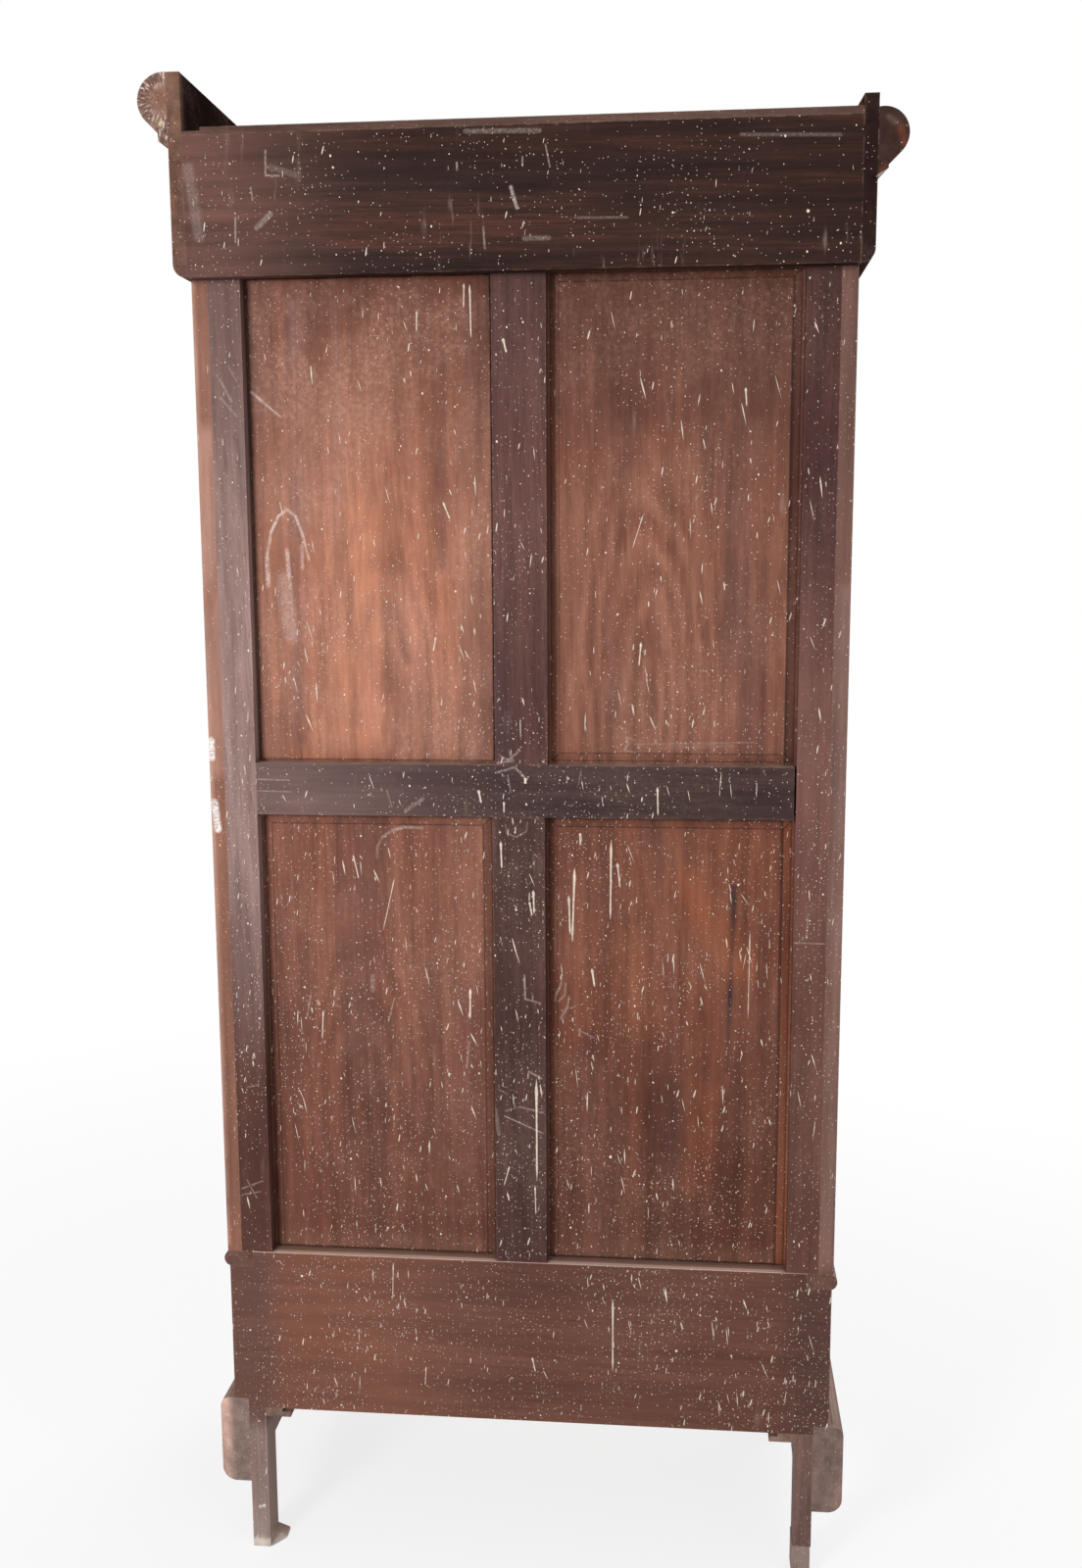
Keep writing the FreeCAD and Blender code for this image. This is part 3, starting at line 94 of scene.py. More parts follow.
class Bench:
    """Builds the nodes of one material, world or node group."""

    def __init__(self, tree: bpy.types.NodeTree) -> None:
        """Takes the tree to work in."""
        self.tree = tree

    @classmethod
    def fresh(cls, owner: bpy.types.Material | bpy.types.World) -> "Bench":
        """Clears the nodes of a material or a world, and returns a bench for them."""
        owner.use_nodes = True
        owner.node_tree.nodes.clear()
        return cls(owner.node_tree)

    def add(self, kind: str, *inputs: object, **named: object) -> bpy.types.Node:
        """Adds a node.

        Args:
            kind: What follows ShaderNode in its type.
            *inputs: What its first inputs get: sockets or plain values.
            **named: A capital starts an input's name, with _ for a space, and a small
                letter starts one of the node's own properties.

        Returns:
            The node.
        """
        node = self.tree.nodes.new(f"ShaderNode{kind}")
        for name, value in named.items():
            if name[0].islower():
                setattr(node, name, value)
        for socket, value in zip(node.inputs, inputs):
            self.feed(socket, value)
        for name, value in named.items():
            if name[0].isupper():
                self.feed(node.inputs[name.replace("_", " ")], value)
        return node

    def feed(self, socket: Socket, value: object) -> None:
        """Links a socket into an input, or sets a plain value on it.

        Args:
            socket: The input.
            value: Another node's output, or a plain value.
        """
        if isinstance(value, bpy.types.NodeSocket):
            self.tree.links.new(value, socket)
        else:
            socket.default_value = value

    def sums(self, operation: str, *values: object, clamp: bool = False) -> Socket:
        """Does one of the Math node's operations on up to three values."""
        return self.add("Math", *values, operation=operation, use_clamp=clamp).outputs[0]

    def times(self, first: object, *others: object) -> Socket:
        """Multiplies values with each other.

        Args:
            first: A socket or a number.
            *others: More of them.

        Returns:
            The product, or the first value where it stands alone.
        """
        for other in others:
            first = self.sums("MULTIPLY", first, other)
        return first

    def hypot(self, one: Socket, other: Socket) -> Socket:
        """Returns the root of the sum of two squares."""
        return self.sums("SQRT", self.sums("MULTIPLY_ADD", one, one, self.times(other, other)))

    def vector(self, operation: str, *values: object, **named: object) -> bpy.types.Node:
        """Does vector arithmetic and returns the node."""
        return self.add("VectorMath", *values, operation=operation, **named)

    def axes(self, vector: Socket) -> tuple[Socket, ...]:
        """Splits a vector into X, Y and Z."""
        return tuple(self.add("SeparateXYZ", vector).outputs)

    def blend(self, share: object, low: object, high: object, kind: str = "MIX") -> Socket:
        """Mixes two colours.

        Args:
            share: How much of the second colour shows, from 0 to 1.
            low: The first colour.
            high: The second colour.
            kind: The Mix node's blend type.

        Returns:
            The mixed colour's socket.
        """
        node = self.add("Mix", share, data_type="RGBA", blend_type=kind)
        self.feed(node.inputs[6], low)
        self.feed(node.inputs[7], high)
        return node.outputs[2]

    def step(self, value: object, low: object, high: object,
             to_low: float = 0.0, to_high: float = 1.0) -> Socket:
        """Maps a range smoothly onto another one, held at its ends."""
        return self.add("MapRange", value, low, high, to_low, to_high,
                        interpolation_type="SMOOTHSTEP").outputs[0]

    def ramp(self, share: Socket, stops: tuple[tuple[float, Colour], ...]) -> Socket:
        """Turns a value into a colour between the stops.

        Args:
            share: The value, from 0 to 1.
            stops: The place and the display colour of each stop.

        Returns:
            The colour's socket.
        """
        node = self.add("ValToRGB", share)
        band = node.color_ramp
        while len(band.elements) < len(stops):
            band.elements.new(0.5)
        for element, (place, colour) in zip(band.elements, stops):
            element.position = place
            element.color = linear(colour)
        return node.outputs[0]

    def place(self, coords: Socket, move: Triple = ZERO, turn: Triple = ZERO,
              scale: Triple = ONE) -> Socket:
        """Scales, turns and moves coordinates, in that order."""
        return self.add("Mapping", coords, move, turn, scale).outputs[0]

    def spots(self) -> tuple[Socket, Socket]:
        """Returns Object coordinates and the surface's true normal."""
        coords = self.add("TexCoord").outputs["Object"]
        return coords, self.add("NewGeometry").outputs["True Normal"]

    def mixed(self, share: Socket, low: bpy.types.Node, high: bpy.types.Node,
              end: str) -> None:
        """Ends the tree in a mix of two shaders, in an output node of the kind end."""
        both = self.add("MixShader", share, low.outputs[0], high.outputs[0])
        self.add(end, both.outputs[0])

    def surface(self, colour: Socket, clouds: Socket, rough: tuple[float, float],
                height: Socket, relief: tuple[float, float], **named: float) -> None:
        """Ends the tree in a principled shader.

        Args:
            colour: The base colour.
            clouds: Noise that makes it rougher.
            rough: The roughness where that noise is low and high.
            height: The height of its relief.
            relief: The strength of the relief, and its depth in metres.
            **named: The shader's other inputs.
        """
        bump = self.add("Bump", Strength=relief[0], Distance=relief[1], Height=height)
        shader = self.add("BsdfPrincipled", colour, Normal=bump.outputs[0],
                          Roughness=self.step(clouds, *CLOUD_MIDDLE, *rough), **named)
        self.add("OutputMaterial", shader.outputs[0])


@dataclass(frozen=True)
class Cloud:
    """Cloudy noise, and how it shows.

    Attributes:
        scale: How fine it is.
        detail: How many finer layers lie on it.
        rough: How strong those are.
        levels: The noise at which it starts to show and shows in full.
        shares: What it gives at those levels.
        move: Where the pattern starts.
        drift: How far a piece's seed moves it on.
        squeeze: How far it is drawn out along the fibres.
    """

    scale: float
    detail: float = 4.0
    rough: float = 0.6
    levels: tuple[float, float] = CLOUD_MIDDLE
    shares: tuple[float, float] = (0.0, 1.0)
    move: Triple = ZERO
    drift: Triple = ZERO
    squeeze: float = 1.0

    def noise(self, bench: Bench, coords: Socket, grain: Grain = Grain.UPRIGHT,
              seed: float = 0.0) -> Socket:
        """Returns the plain noise, from 0 to 1.

        Args:
            bench: The bench to build it on.
            coords: Where each point lies.
            grain: The way the fibres run.
            seed: The piece's seed.

        Returns:
            The noise's socket.
        """
        move = tuple(start + seed * way for start, way in zip(self.move, self.drift))
        placed = bench.place(coords, move, scale=grain.squeeze(self.squeeze))
        return bench.add("TexNoise", placed, Scale=self.scale, Detail=self.detail,
                         Roughness=self.rough).outputs[0]

    def shown(self, bench: Bench, coords: Socket, grain: Grain = Grain.UPRIGHT,
              seed: float = 0.0) -> Socket:
        """Returns how much it shows; the arguments are those of noise."""
        return bench.step(self.noise(bench, coords, grain, seed), *self.levels, *self.shares)


CROWDS = Cloud(6.0, levels=(0.32, 0.68), shares=(0.30, 1.9))
SMEARS = Cloud(60.0, levels=(0.56, 0.78))
SMEAR_PATCHES = Cloud(7.0, 2.0, 0.5, (0.50, 0.72))
GROWTH = Cloud(26.0, 5.0, 0.62, squeeze=0.06)
FIBRES = Cloud(330.0, 3.0, move=(1.7, 0.4, 0.9), squeeze=0.022)
PORES = Cloud(620.0, 2.0, 0.5, (0.60, 0.72), (0.5, 0.0), (0.3, 1.4, 0.2), squeeze=0.10)
ARCH_SHAKE = Cloud(9.0, 3.0, 0.5, squeeze=0.3)
STAIN_CLOUDS = Cloud(5.0, levels=(0.40, 0.68), move=(0.0, 0.0, 2.0), drift=(9.0, 0.0, 0.0),
                     squeeze=0.35)
STAIN_BANDS = Cloud(13.0, 3.0, 0.55, (0.46, 0.66), move=(0.0, 1.0, 4.0),
                    drift=(5.0, 0.0, 0.0), squeeze=0.10)
STAIN_BREAKS = Cloud(30.0, levels=(0.30, 0.62), shares=(0.35, 1.0), squeeze=0.3)
CHECKS = Cloud(9.0, 3.0)
BLOOM = Cloud(4.5, 5.0, 0.7, (0.36, 0.66), move=(4.0, 2.0, 7.0))
MOTTLE = Cloud(190.0, 4.0, 0.7, (0.42, 0.66), (0.35, 1.0), (1.0, 5.0, 3.0))
WEATHER_BANDS = Cloud(52.0, 5.0, 0.66, move=(0.0, 0.7, 0.0), drift=(3.0, 0.0, 2.0),
                      squeeze=0.055)
BLOTCHES = Cloud(8.0, 5.0, 0.64, move=(0.0, 0.2, 0.0), drift=(7.0, 0.0, 1.0), squeeze=0.45)
NIBBLES = Cloud(75.0, 4.0, 0.65, (0.40, 0.66))
DUST_PATCHES = Cloud(24.0, 5.0, 0.65, (0.25, 0.62), (0.45, 1.0))
CHALK_BREAKS = Cloud(240.0, 3.0, 0.7, (0.36, 0.60), (0.35, 1.0))
TARNISH = Cloud(90.0, 5.0, 0.65, (0.38, 0.64), move=(0.0, 0.3, 0.1), drift=(1.0, 0.0, 0.0))
SCRATCHES = Cloud(900.0, 2.0, 0.5, squeeze=0.1)
CRUST = Cloud(260.0)


@dataclass(frozen=True)
class SplashLayer:
    """One size of limewash splash: dots or leaning streaks.

    Each cell of a stretched pattern may hold one drop, whose radius is chosen at random
    between two limits with the cube of a random number, so that most are small.
    """

    cell: float
    length: float
    lean: float
    smallest: float
    largest: float
    share: float
    strength: float = 1.0

    def drops(self, bench: Bench, face: Socket, crowd: Socket, number: int) -> Socket:
        """Returns how much each point is covered by the drops of this layer.

        Args:
            bench: The group's bench.
            face: Flat coordinates on the back.
            crowd: How crowded the drops are there.
            number: The layer's place, which moves its pattern.

        Returns:
            Cover from 0 to the layer's strength.
        """
        turned = bench.place(face, (0.37 * number, 0.61 * number, 0.0),
                             (0.0, 0.0, math.radians(-self.lean)))
        drawn = bench.place(turned, scale=(1.0 / self.cell, 1.0 / (self.cell * self.length), 1.0))
        cells = bench.add("TexVoronoi", drawn, voronoi_dimensions="2D", Scale=1.0)
        chance, size, _ = bench.add("SeparateColor", cells.outputs["Color"]).outputs
        kept = bench.sums("LESS_THAN", chance, bench.times(crowd, self.share))
        radius = bench.sums("MULTIPLY_ADD", bench.sums("POWER", size, 3.0),
                            self.largest - self.smallest, self.smallest)
        inside = bench.step(cells.outputs["Distance"], radius, bench.times(radius, 0.75))
        return bench.times(inside, kept, self.strength)


@dataclass(frozen=True)
class Limewash:
    """Dots, streaks and smears of off-white limewash on the back, more of them lower down."""

    name: str = "limewash"
    ragged_scale: float = 420.0
    ragged_depth: float = 0.0009
    heights: tuple[float, float] = (2.1, 0.5)
    crowds: tuple[float, float] = (0.54, 1.30)
    smear_turn: float = math.radians(6.0)
    layers: tuple[SplashLayer, ...] = (
        SplashLayer(0.0062, 1.1, 0.0, 0.070, 0.120, 0.29, 0.95),
        SplashLayer(0.0095, 1.3, 8.0, 0.056, 0.100, 0.25),
        SplashLayer(0.0230, 1.3, -12.0, 0.030, 0.064, 0.18),
        SplashLayer(0.0800, 1.2, 0.0, 0.014, 0.030, 0.15),
        SplashLayer(0.0120, 7.5, 3.0, 0.034, 0.076, 0.22, 0.62),
        SplashLayer(0.0165, 7.0, 9.0, 0.028, 0.066, 0.28, 0.85),
        SplashLayer(0.0240, 6.0, 16.0, 0.022, 0.052, 0.28, 0.80),
        SplashLayer(0.0220, 6.5, -9.0, 0.018, 0.044, 0.18, 0.65),
    )

    def group(self) -> bpy.types.NodeTree:
        """Builds the shared node group, once.

        Returns:
            A group with the outputs Cover, from 0 to 1, and Smear.
        """
        tree = bpy.data.node_groups.new(self.name, "ShaderNodeTree")
        for output in ("Cover", "Smear"):
            tree.interface.new_socket(output, in_out="OUTPUT", socket_type="NodeSocketFloat")
        bench = Bench(tree)
        x, _, z = bench.axes(bench.spots()[0])
        face = bench.add("CombineXYZ", x, z).outputs[0]
        ragged = bench.add("TexNoise", face, Scale=self.ragged_scale).outputs["Color"]
        shake = bench.vector("SCALE", ragged, Scale=self.ragged_depth)
        rough_face = bench.vector("ADD", face, shake.outputs[0]).outputs[0]
        crowd = bench.times(CROWDS.shown(bench, face),
                            bench.step(z, *self.heights, *self.crowds))
        cover: object = 0.0
        for number, layer in enumerate(self.layers):
            cover = bench.sums("MAXIMUM", cover, layer.drops(bench, rough_face, crowd, number))
        drawn = bench.place(face, (3.0, 1.0, 0.0), (0.0, 0.0, self.smear_turn), (1.0, 0.16, 1.0))
        smear = bench.times(SMEARS.shown(bench, drawn), SMEAR_PATCHES.shown(bench, face))
        end = tree.nodes.new("NodeGroupOutput")
        bench.feed(end.inputs[0], cover)
        bench.feed(end.inputs[1], smear)
        return tree


@dataclass(frozen=True)
class Stroke:
    """A straight mark on the back, between two points, in millimetres."""

    x0: float
    z0: float
    x1: float
    z1: float
    width: float
    strength: float = 0.5


@dataclass(frozen=True)
class Stain(Stroke):
    """A soft stroke of another colour on what faces the rear."""

    colour: Colour = (74, 50, 46)


@dataclass(frozen=True)
class Fade:
    """A colour that comes in along one axis, between two places in metres."""

    axis: str
    low: float
    high: float
    colour: Colour
    share: float = 0.6
    ragged: float = 0.6


def strokes(*rows: tuple[float, ...]) -> tuple[Stroke, ...]:
    """Makes strokes.

    Args:
        *rows: x0, z0, x1, z1, width and strength; a row without x0 and z0 goes on from the
            end of the one before.

    Returns:
        The strokes.
    """
    made: list[Stroke] = []
    for row in rows:
        start = (made[-1].x1, made[-1].z1) if len(row) == 4 else ()
        made.append(Stroke(*start, *row))
    return tuple(made)


@dataclass(frozen=True)
class Wood:
    """Old hardwood with growth rings, fibres, stains, worn edges and dust, and painted shade along
    its arrises and in its inner corners.

    The tone at a point is the middle tone, plus growth rings cut by the surface, plus
    coarse and fine streaks drawn out along the fibres, less the open pores. The tone
    picks a colour between dark, middle and light. Arches are (x, z, half width, height)
    of the crown-cut figure of a board: rings round a tall ellipse.
    """

    dark: Colour
    middle: Colour
    light: Colour
    grain: Grain = Grain.UPRIGHT
    ring_pitch: float = 0.014
    rings: float = 0.30
    streaks: float = 0.9
    fibres: float = 0.55
    stain: Colour = (52, 38, 36)
    stain_share: float = 0.45
    bare: Colour = (150, 112, 96)
    wear: float = 0.5
    dust: float = 0.75
    splash: float = 1.0
    roughness: float = 0.62
    varnish: float = 0.0
    specular: float = 0.10
    haze: Colour = (168, 136, 122)
    haze_share: float = 0.10
    # Share of painted shade in inner corners and recesses.
    painted_shade_share: float = 0.7
    weather: float = 0.5
    smears: float = 0.34
    # Share of painted shade along arrises.
    arris: float = 0.0
    arches: tuple[float, float, float, float] | None = None
    fades: tuple[Fade, ...] = ()
    spokes: tuple[float, float] | None = None
    stains: tuple[Stain, ...] = ()
    marks: tuple[Stroke, ...] = ()
    chalk: Colour = (178, 158, 148)
    reeds: str = ""
    tilt: float = 2.0

    def material(self, name: str, piece: str,
                 limewash: bpy.types.NodeTree) -> bpy.types.Material:
        """Builds the finish for one piece.

        Args:
            name: The finish's name.
            piece: The piece's name, which places its figure.
            limewash: The shared group of splashes.

        Returns:
            The material.
        """
        made = bpy.data.materials.new(f"{name}.{piece}")
        coat = Coat(self, Bench.fresh(made), seed_of(piece))
        coat.fade()
        coat.stain()
        coat.check()
        coat.haze()
        coat.weather()
        coat.wear()
        coat.reed()
        coat.powder()
        coat.splash(limewash)
        coat.bench.surface(coat.colour, coat.clouds,
                           (self.roughness - 0.08, self.roughness + 0.12), coat.bump,
                           (0.5, 0.0006), Coat_Weight=self.varnish, Coat_Roughness=0.28,
                           Specular_IOR_Level=self.specular)
        return made


class Coat:
    """The wood of one piece while it is laid on, layer by layer."""

    tone_places: Triple = (0.12, 0.5, 0.88)
    ring_wave: dict[str, float] = {"Distortion": 3.4, "Detail": 3.0, "Detail_Scale": 0.55,
                                   "Detail_Roughness": 0.6}
    arch_shake: float = 1.1
    arch_waves: float = 24.0
    arch_fade: tuple[float, ...] = (1.7, 0.5, 0.0, 0.13)
    check_spread: float = 9.0
    check_rim: tuple[float, float] = (0.014, 0.028)
    check_side: tuple[float, float] = (-0.030, 0.0)
    check_end: tuple[float, float] = (0.2975, 0.2995)
    check_dark: Colour = (72, 54, 50)
    check_light: Colour = (206, 190, 178)
    weathers: tuple[tuple[Cloud, float], ...] = ((WEATHER_BANDS, 2.8), (BLOTCHES, 1.3))
    edge_radius: float = 0.0026
    # Colour of the painted shade along arrises.
    edge_shade: Colour = (104, 88, 84)
    edge_turns: tuple[float, float] = (0.9985, 0.990)
    corner_turns: tuple[float, float] = (0.975, 0.84)
    # Reach, levels and colour of the painted shade in inner corners and recesses.
    painted_shade_reach: float = 0.009
    painted_shade_open: tuple[float, float] = (0.95, 0.45)
    painted_shade_colour: Colour = (95, 78, 74)
    reed_pitch: float = 0.0065
    reed_shade: Colour = (38, 26, 24)
    reed_height: tuple[float, float] = (0.236, 0.241)
    reed_up: tuple[float, float] = (0.1, 0.5)
    reed_dark: tuple[float, float] = (-0.2, -0.9)
    chalk_core: float = 0.3
    fibre_height: float = 0.35
    reed_depth: float = 0.9
    splash_height: float = 0.8
    dust: Colour = (176, 150, 136)
    smear: Colour = (170, 145, 132)
    limewash: Colour = (222, 208, 195)

    def __init__(self, wood: Wood, bench: Bench, seed: float) -> None:
        """Lays the figure: growth rings, streaks, fibres, pores and cloudy stains.

        Args:
            wood: What is laid on.
            bench: The material's bench.
            seed: The piece's seed.
        """
        self.wood, self.bench, self.seed = wood, bench, seed
        self.coords, self.normal = bench.spots()
        self.place = bench.axes(self.coords)
        self.facing = bench.axes(self.normal)
        self.rear = bench.step(self.facing[1], *FACING_REAR)
        tone, fibre = self.figure()
        if wood.arches:
            tone = self.crowned(tone)
        self.bump = bench.times(fibre, self.fibre_height)
        self.colour = bench.ramp(tone, tuple(zip(self.tone_places,
                                                 (wood.dark, wood.middle, wood.light))))
        self.clouds = STAIN_CLOUDS.noise(bench, self.coords, wood.grain, seed)
        self.tint(wood.stain, bench.step(self.clouds, *STAIN_CLOUDS.levels),
                  wood.stain_share * 0.6)
        self.tint(wood.stain, self.shown(STAIN_BANDS), wood.stain_share)

    def tint(self, colour: Colour, *shares: object, kind: str = "MIX") -> None:
        """Mixes a colour in, by the product of the shares."""
        self.colour = self.bench.blend(self.bench.times(*shares), self.colour, linear(colour),
                                       kind)

    def noise(self, cloud: Cloud) -> Socket:
        """Returns a cloud's plain noise along this piece's fibres."""
        return cloud.noise(self.bench, self.coords, self.wood.grain, self.seed)

    def shown(self, cloud: Cloud) -> Socket:
        """Returns how much a cloud shows along this piece's fibres."""
        return cloud.shown(self.bench, self.coords, self.wood.grain, self.seed)

    def figure(self) -> tuple[Socket, Socket]:
        """Adds up the rings, streaks, fibres and pores.

        Returns:
            The tone of the wood, and its fine fibres alone.
        """
        wood, bench, grain = self.wood, self.bench, self.wood.grain
        tilt = math.radians(wood.tilt * (0.5 + self.seed))
        turn = {Grain.UPRIGHT: (tilt, -tilt * 0.6, 0.0), Grain.ACROSS: (0.0, tilt, tilt * 0.6),
                Grain.DEEP: (tilt, 0.0, tilt)}[grain]
        tilted = bench.place(self.coords, (0.10 + 0.2 * self.seed, 0.13, 0.09), turn)
        rings = bench.add("TexWave", bench.place(tilted, scale=grain.squeeze(GROWTH.squeeze)),
                          wave_type="RINGS", rings_direction=grain.value, wave_profile="SAW",
                          Scale=math.tau / (20.0 * wood.ring_pitch), **self.ring_wave)
        fibre = FIBRES.noise(bench, tilted, grain)
        tone: object = 0.5
        for part, amount in ((rings.outputs["Fac"], wood.rings),
                             (GROWTH.noise(bench, tilted, grain), wood.streaks),
                             (fibre, wood.fibres),
                             (PORES.shown(bench, tilted, grain), wood.fibres)):
            tone = bench.sums("MULTIPLY_ADD", bench.sums("SUBTRACT", part, 0.5), amount, tone)
        return tone, fibre

    def crowned(self, tone: Socket) -> Socket:
        """Adds crown-cut arches to the tone.

        The distance from the middle of a tall ellipse, shaken by noise, runs through a
        sine, which fades out away from the middle.

        Args:
            tone: The tone without them.

        Returns:
            The tone with them.
        """
        bench, (x, _, z) = self.bench, self.place
        middle_x, middle_z, half_width, height = self.wood.arches
        apart = bench.hypot(
            bench.sums("DIVIDE", bench.sums("SUBTRACT", x, middle_x), half_width),
            bench.sums("DIVIDE", bench.sums("SUBTRACT", z, middle_z), height))
        shaken = bench.sums("MULTIPLY_ADD", ARCH_SHAKE.noise(bench, self.coords),
                            self.arch_shake, apart)
        wave = bench.sums("SINE", bench.times(shaken, self.arch_waves))
        return bench.sums("MULTIPLY_ADD", wave, bench.step(apart, *self.arch_fade), tone)

    def fade(self) -> None:
        """Brings in other colours along the axes: the wood's own tone and stains, and on some
        woods painted shade and painted light.
        """
        centred = self.bench.sums("SUBTRACT", self.clouds, 0.5)
        for fade in self.wood.fades:
            ragged = self.bench.sums("MULTIPLY_ADD", centred,
                                     fade.ragged * abs(fade.high - fade.low),
                                     self.place["XYZ".index(fade.axis)])
            self.tint(fade.colour, self.bench.step(ragged, fade.low, fade.high), fade.share)

    def stain(self) -> None:
        """Lays the soft stains."""
        if not self.wood.stains:
            return
        rear = self.bench.times(self.rear, STAIN_BREAKS.shown(self.bench, self.coords))
        for stain in self.wood.stains:
            self.tint(stain.colour, self.stroke(stain, 0.0), rear)

    def check(self) -> None:
        """Draws the fine dark and light checks on the outer rim of a round end.

        They are noise over the angle round the middle, stretched along the radius.
        """
        if not self.wood.spokes:
            return
        bench, (x, y, z) = self.bench, self.place
        across = bench.sums("SUBTRACT", x, self.wood.spokes[0])
        upward = bench.sums("SUBTRACT", z, self.wood.spokes[1])
        radius = bench.hypot(across, upward)
        polar = bench.add("CombineXYZ", bench.sums("ARCTAN2", upward, across),
                          bench.times(radius, self.check_spread))
        checks = CHECKS.noise(bench, polar.outputs[0])
        rim = bench.times(bench.step(radius, *self.check_rim),
                          bench.step(across, *self.check_side),
                          bench.step(y, *self.check_end))
        self.tint(self.check_dark, bench.step(checks, 0.56, 0.44), 0.75, rim)
        self.tint(self.check_light, bench.step(checks, 0.54, 0.64), 0.8, rim)

    def haze(self) -> None:
        """Lays a thin uneven bloom on the wood: soft clouds and a fine mottle."""
        self.tint(self.wood.haze, self.shown(BLOOM), self.shown(MOTTLE), self.wood.haze_share)

    def weather(self) -> None:
        """Makes the wood lighter and darker in uneven bands along the grain and in blotches.

        The colour is multiplied by one plus the weather times both noises about their middle.
        """
        bench = self.bench
        bands, blotches = (bench.times(bench.sums("SUBTRACT", self.noise(cloud), 0.5), amount)
                           for cloud, amount in self.weathers)
        uneven = bench.sums("MULTIPLY_ADD", bench.sums("ADD", bands, blotches),
                            self.wood.weather, 1.0)
        factor = bench.sums("MAXIMUM", uneven, 0.3)
        self.colour = bench.vector("SCALE", self.colour, Scale=factor).outputs[0]

    def wear(self) -> None:
        """Paints shade along the arrises, rubs the corners bare and paints shade into the inner
        corners.
        """
        bench, wood = self.bench, self.wood
        eased = bench.add("Bevel", self.edge_radius, samples=4).outputs[0]
        alike = bench.vector("DOT_PRODUCT", eased, self.normal).outputs["Value"]
        # A thin darker line along arrises and the edges of fielded panels: painted shade.
        if wood.arris > 0.0:
            self.tint(self.edge_shade, bench.step(alike, *self.edge_turns), wood.arris,
                      kind="MULTIPLY")
        self.tint(wood.bare, bench.step(alike, *self.corner_turns), self.shown(NIBBLES),
                  wood.wear)
        # Ambient occlusion darkens inner corners and recesses: painted shade.
        occlusion = bench.add("AmbientOcclusion", samples=6, Distance=self.painted_shade_reach)
        self.tint(self.painted_shade_colour, bench.step(occlusion.outputs["AO"], *self.painted_shade_open),
                  wood.painted_shade_share, kind="MULTIPLY")

    def reed(self) -> None:
        """Runs fine reeds along the top of a moulding, with painted shade in their troughs."""
        if not self.wood.reeds:
            return
        bench = self.bench
        across = self.place["XYZ".index(self.wood.reeds)]
        wave = bench.sums("SINE", bench.times(across, math.tau / self.reed_pitch))
        reed = bench.times(wave, bench.step(self.place[2], *self.reed_height),
                           bench.step(self.facing[2], *self.reed_up))
        # Darkens the troughs between the reeds: painted shade.
        self.tint(self.reed_shade, bench.step(reed, *self.reed_dark), 0.6)
        self.bump = bench.sums("MULTIPLY_ADD", reed, self.reed_depth, self.bump)

    def powder(self) -> None:
        """Lays pale dust on what faces up."""
        self.tint(self.dust, self.bench.step(self.facing[2], *FACING_UP),
                  self.shown(DUST_PATCHES), self.wood.dust)

    def splash(self, limewash: bpy.types.NodeTree) -> None:
        """Lays splashes, smears and drawn marks on what faces the rear.

        Args:
            limewash: The shared group of splashes.
        """
        if self.wood.splash <= 0.0:
            return
        bench = self.bench
        rear = bench.times(self.rear, self.wood.splash)
        cover, smear = bench.add("Group", node_tree=limewash).outputs
        self.tint(self.smear, smear, rear, self.wood.smears)
        if self.wood.marks:
            chalk: object = 0.0
            for mark in self.wood.marks:
                chalk = bench.sums("MAXIMUM", chalk, self.stroke(mark, self.chalk_core))
            self.tint(self.wood.chalk, chalk, self.shown(CHALK_BREAKS), rear)
        covered = bench.times(cover, rear)
        self.tint(self.limewash, covered)
        self.bump = bench.sums("ADD", self.bump, bench.times(covered, self.splash_height))

    def stroke(self, mark: Stroke, core: float) -> Socket:
        """Returns how strongly one stroke shows.

        Args:
            mark: The stroke; it fades with the distance from its line.
            core: The share of its half width that shows in full.

        Returns:
            From 0 to the stroke's strength.
        """
        bench, (x, _, z) = self.bench, self.place
        x0, z0, x1, z1, width = (value * MM for value in (mark.x0, mark.z0, mark.x1, mark.z1,
                                                          mark.width))
        length = math.hypot(x1 - x0, z1 - z0)
        along_x, along_z = (x1 - x0) / length, (z1 - z0) / length
        dx = bench.sums("SUBTRACT", x, x0)
        dz = bench.sums("SUBTRACT", z, z0)
        reach = bench.sums("MULTIPLY_ADD", dz, along_z, bench.times(dx, along_x))
        held = bench.sums("MINIMUM", bench.sums("MAXIMUM", reach, 0.0), length)
        apart = bench.hypot(bench.sums("MULTIPLY_ADD", held, -along_x, dx),
                            bench.sums("MULTIPLY_ADD", held, -along_z, dz))
        return bench.step(apart, width / 2.0, width / 2.0 * core, 0.0, mark.strength)


@dataclass(frozen=True)
class Metal:
    """Old metal that has dulled unevenly, with scratches."""

    name: str
    bright: Colour
    dull: Colour
    roughness: float = 0.38

    def material(self, piece: str) -> bpy.types.Material:
        """Builds the finish for one piece.

        Args:
            piece: The piece's name, which places its clouds.

        Returns:
            The material.
        """
        made = bpy.data.materials.new(f"{self.name}.{piece}")
        bench = Bench.fresh(made)
        coords, _ = bench.spots()
        clouds = TARNISH.noise(bench, coords, seed=seed_of(piece))
        colour = bench.blend(bench.step(clouds, *TARNISH.levels), linear(self.bright),
                             linear(self.dull))
        height = bench.sums("ADD", clouds, SCRATCHES.noise(bench, coords))
        bench.surface(colour, clouds, (self.roughness, self.roughness + 0.25), height,
                      (0.25, 0.0003), Metallic=1.0)
        return made


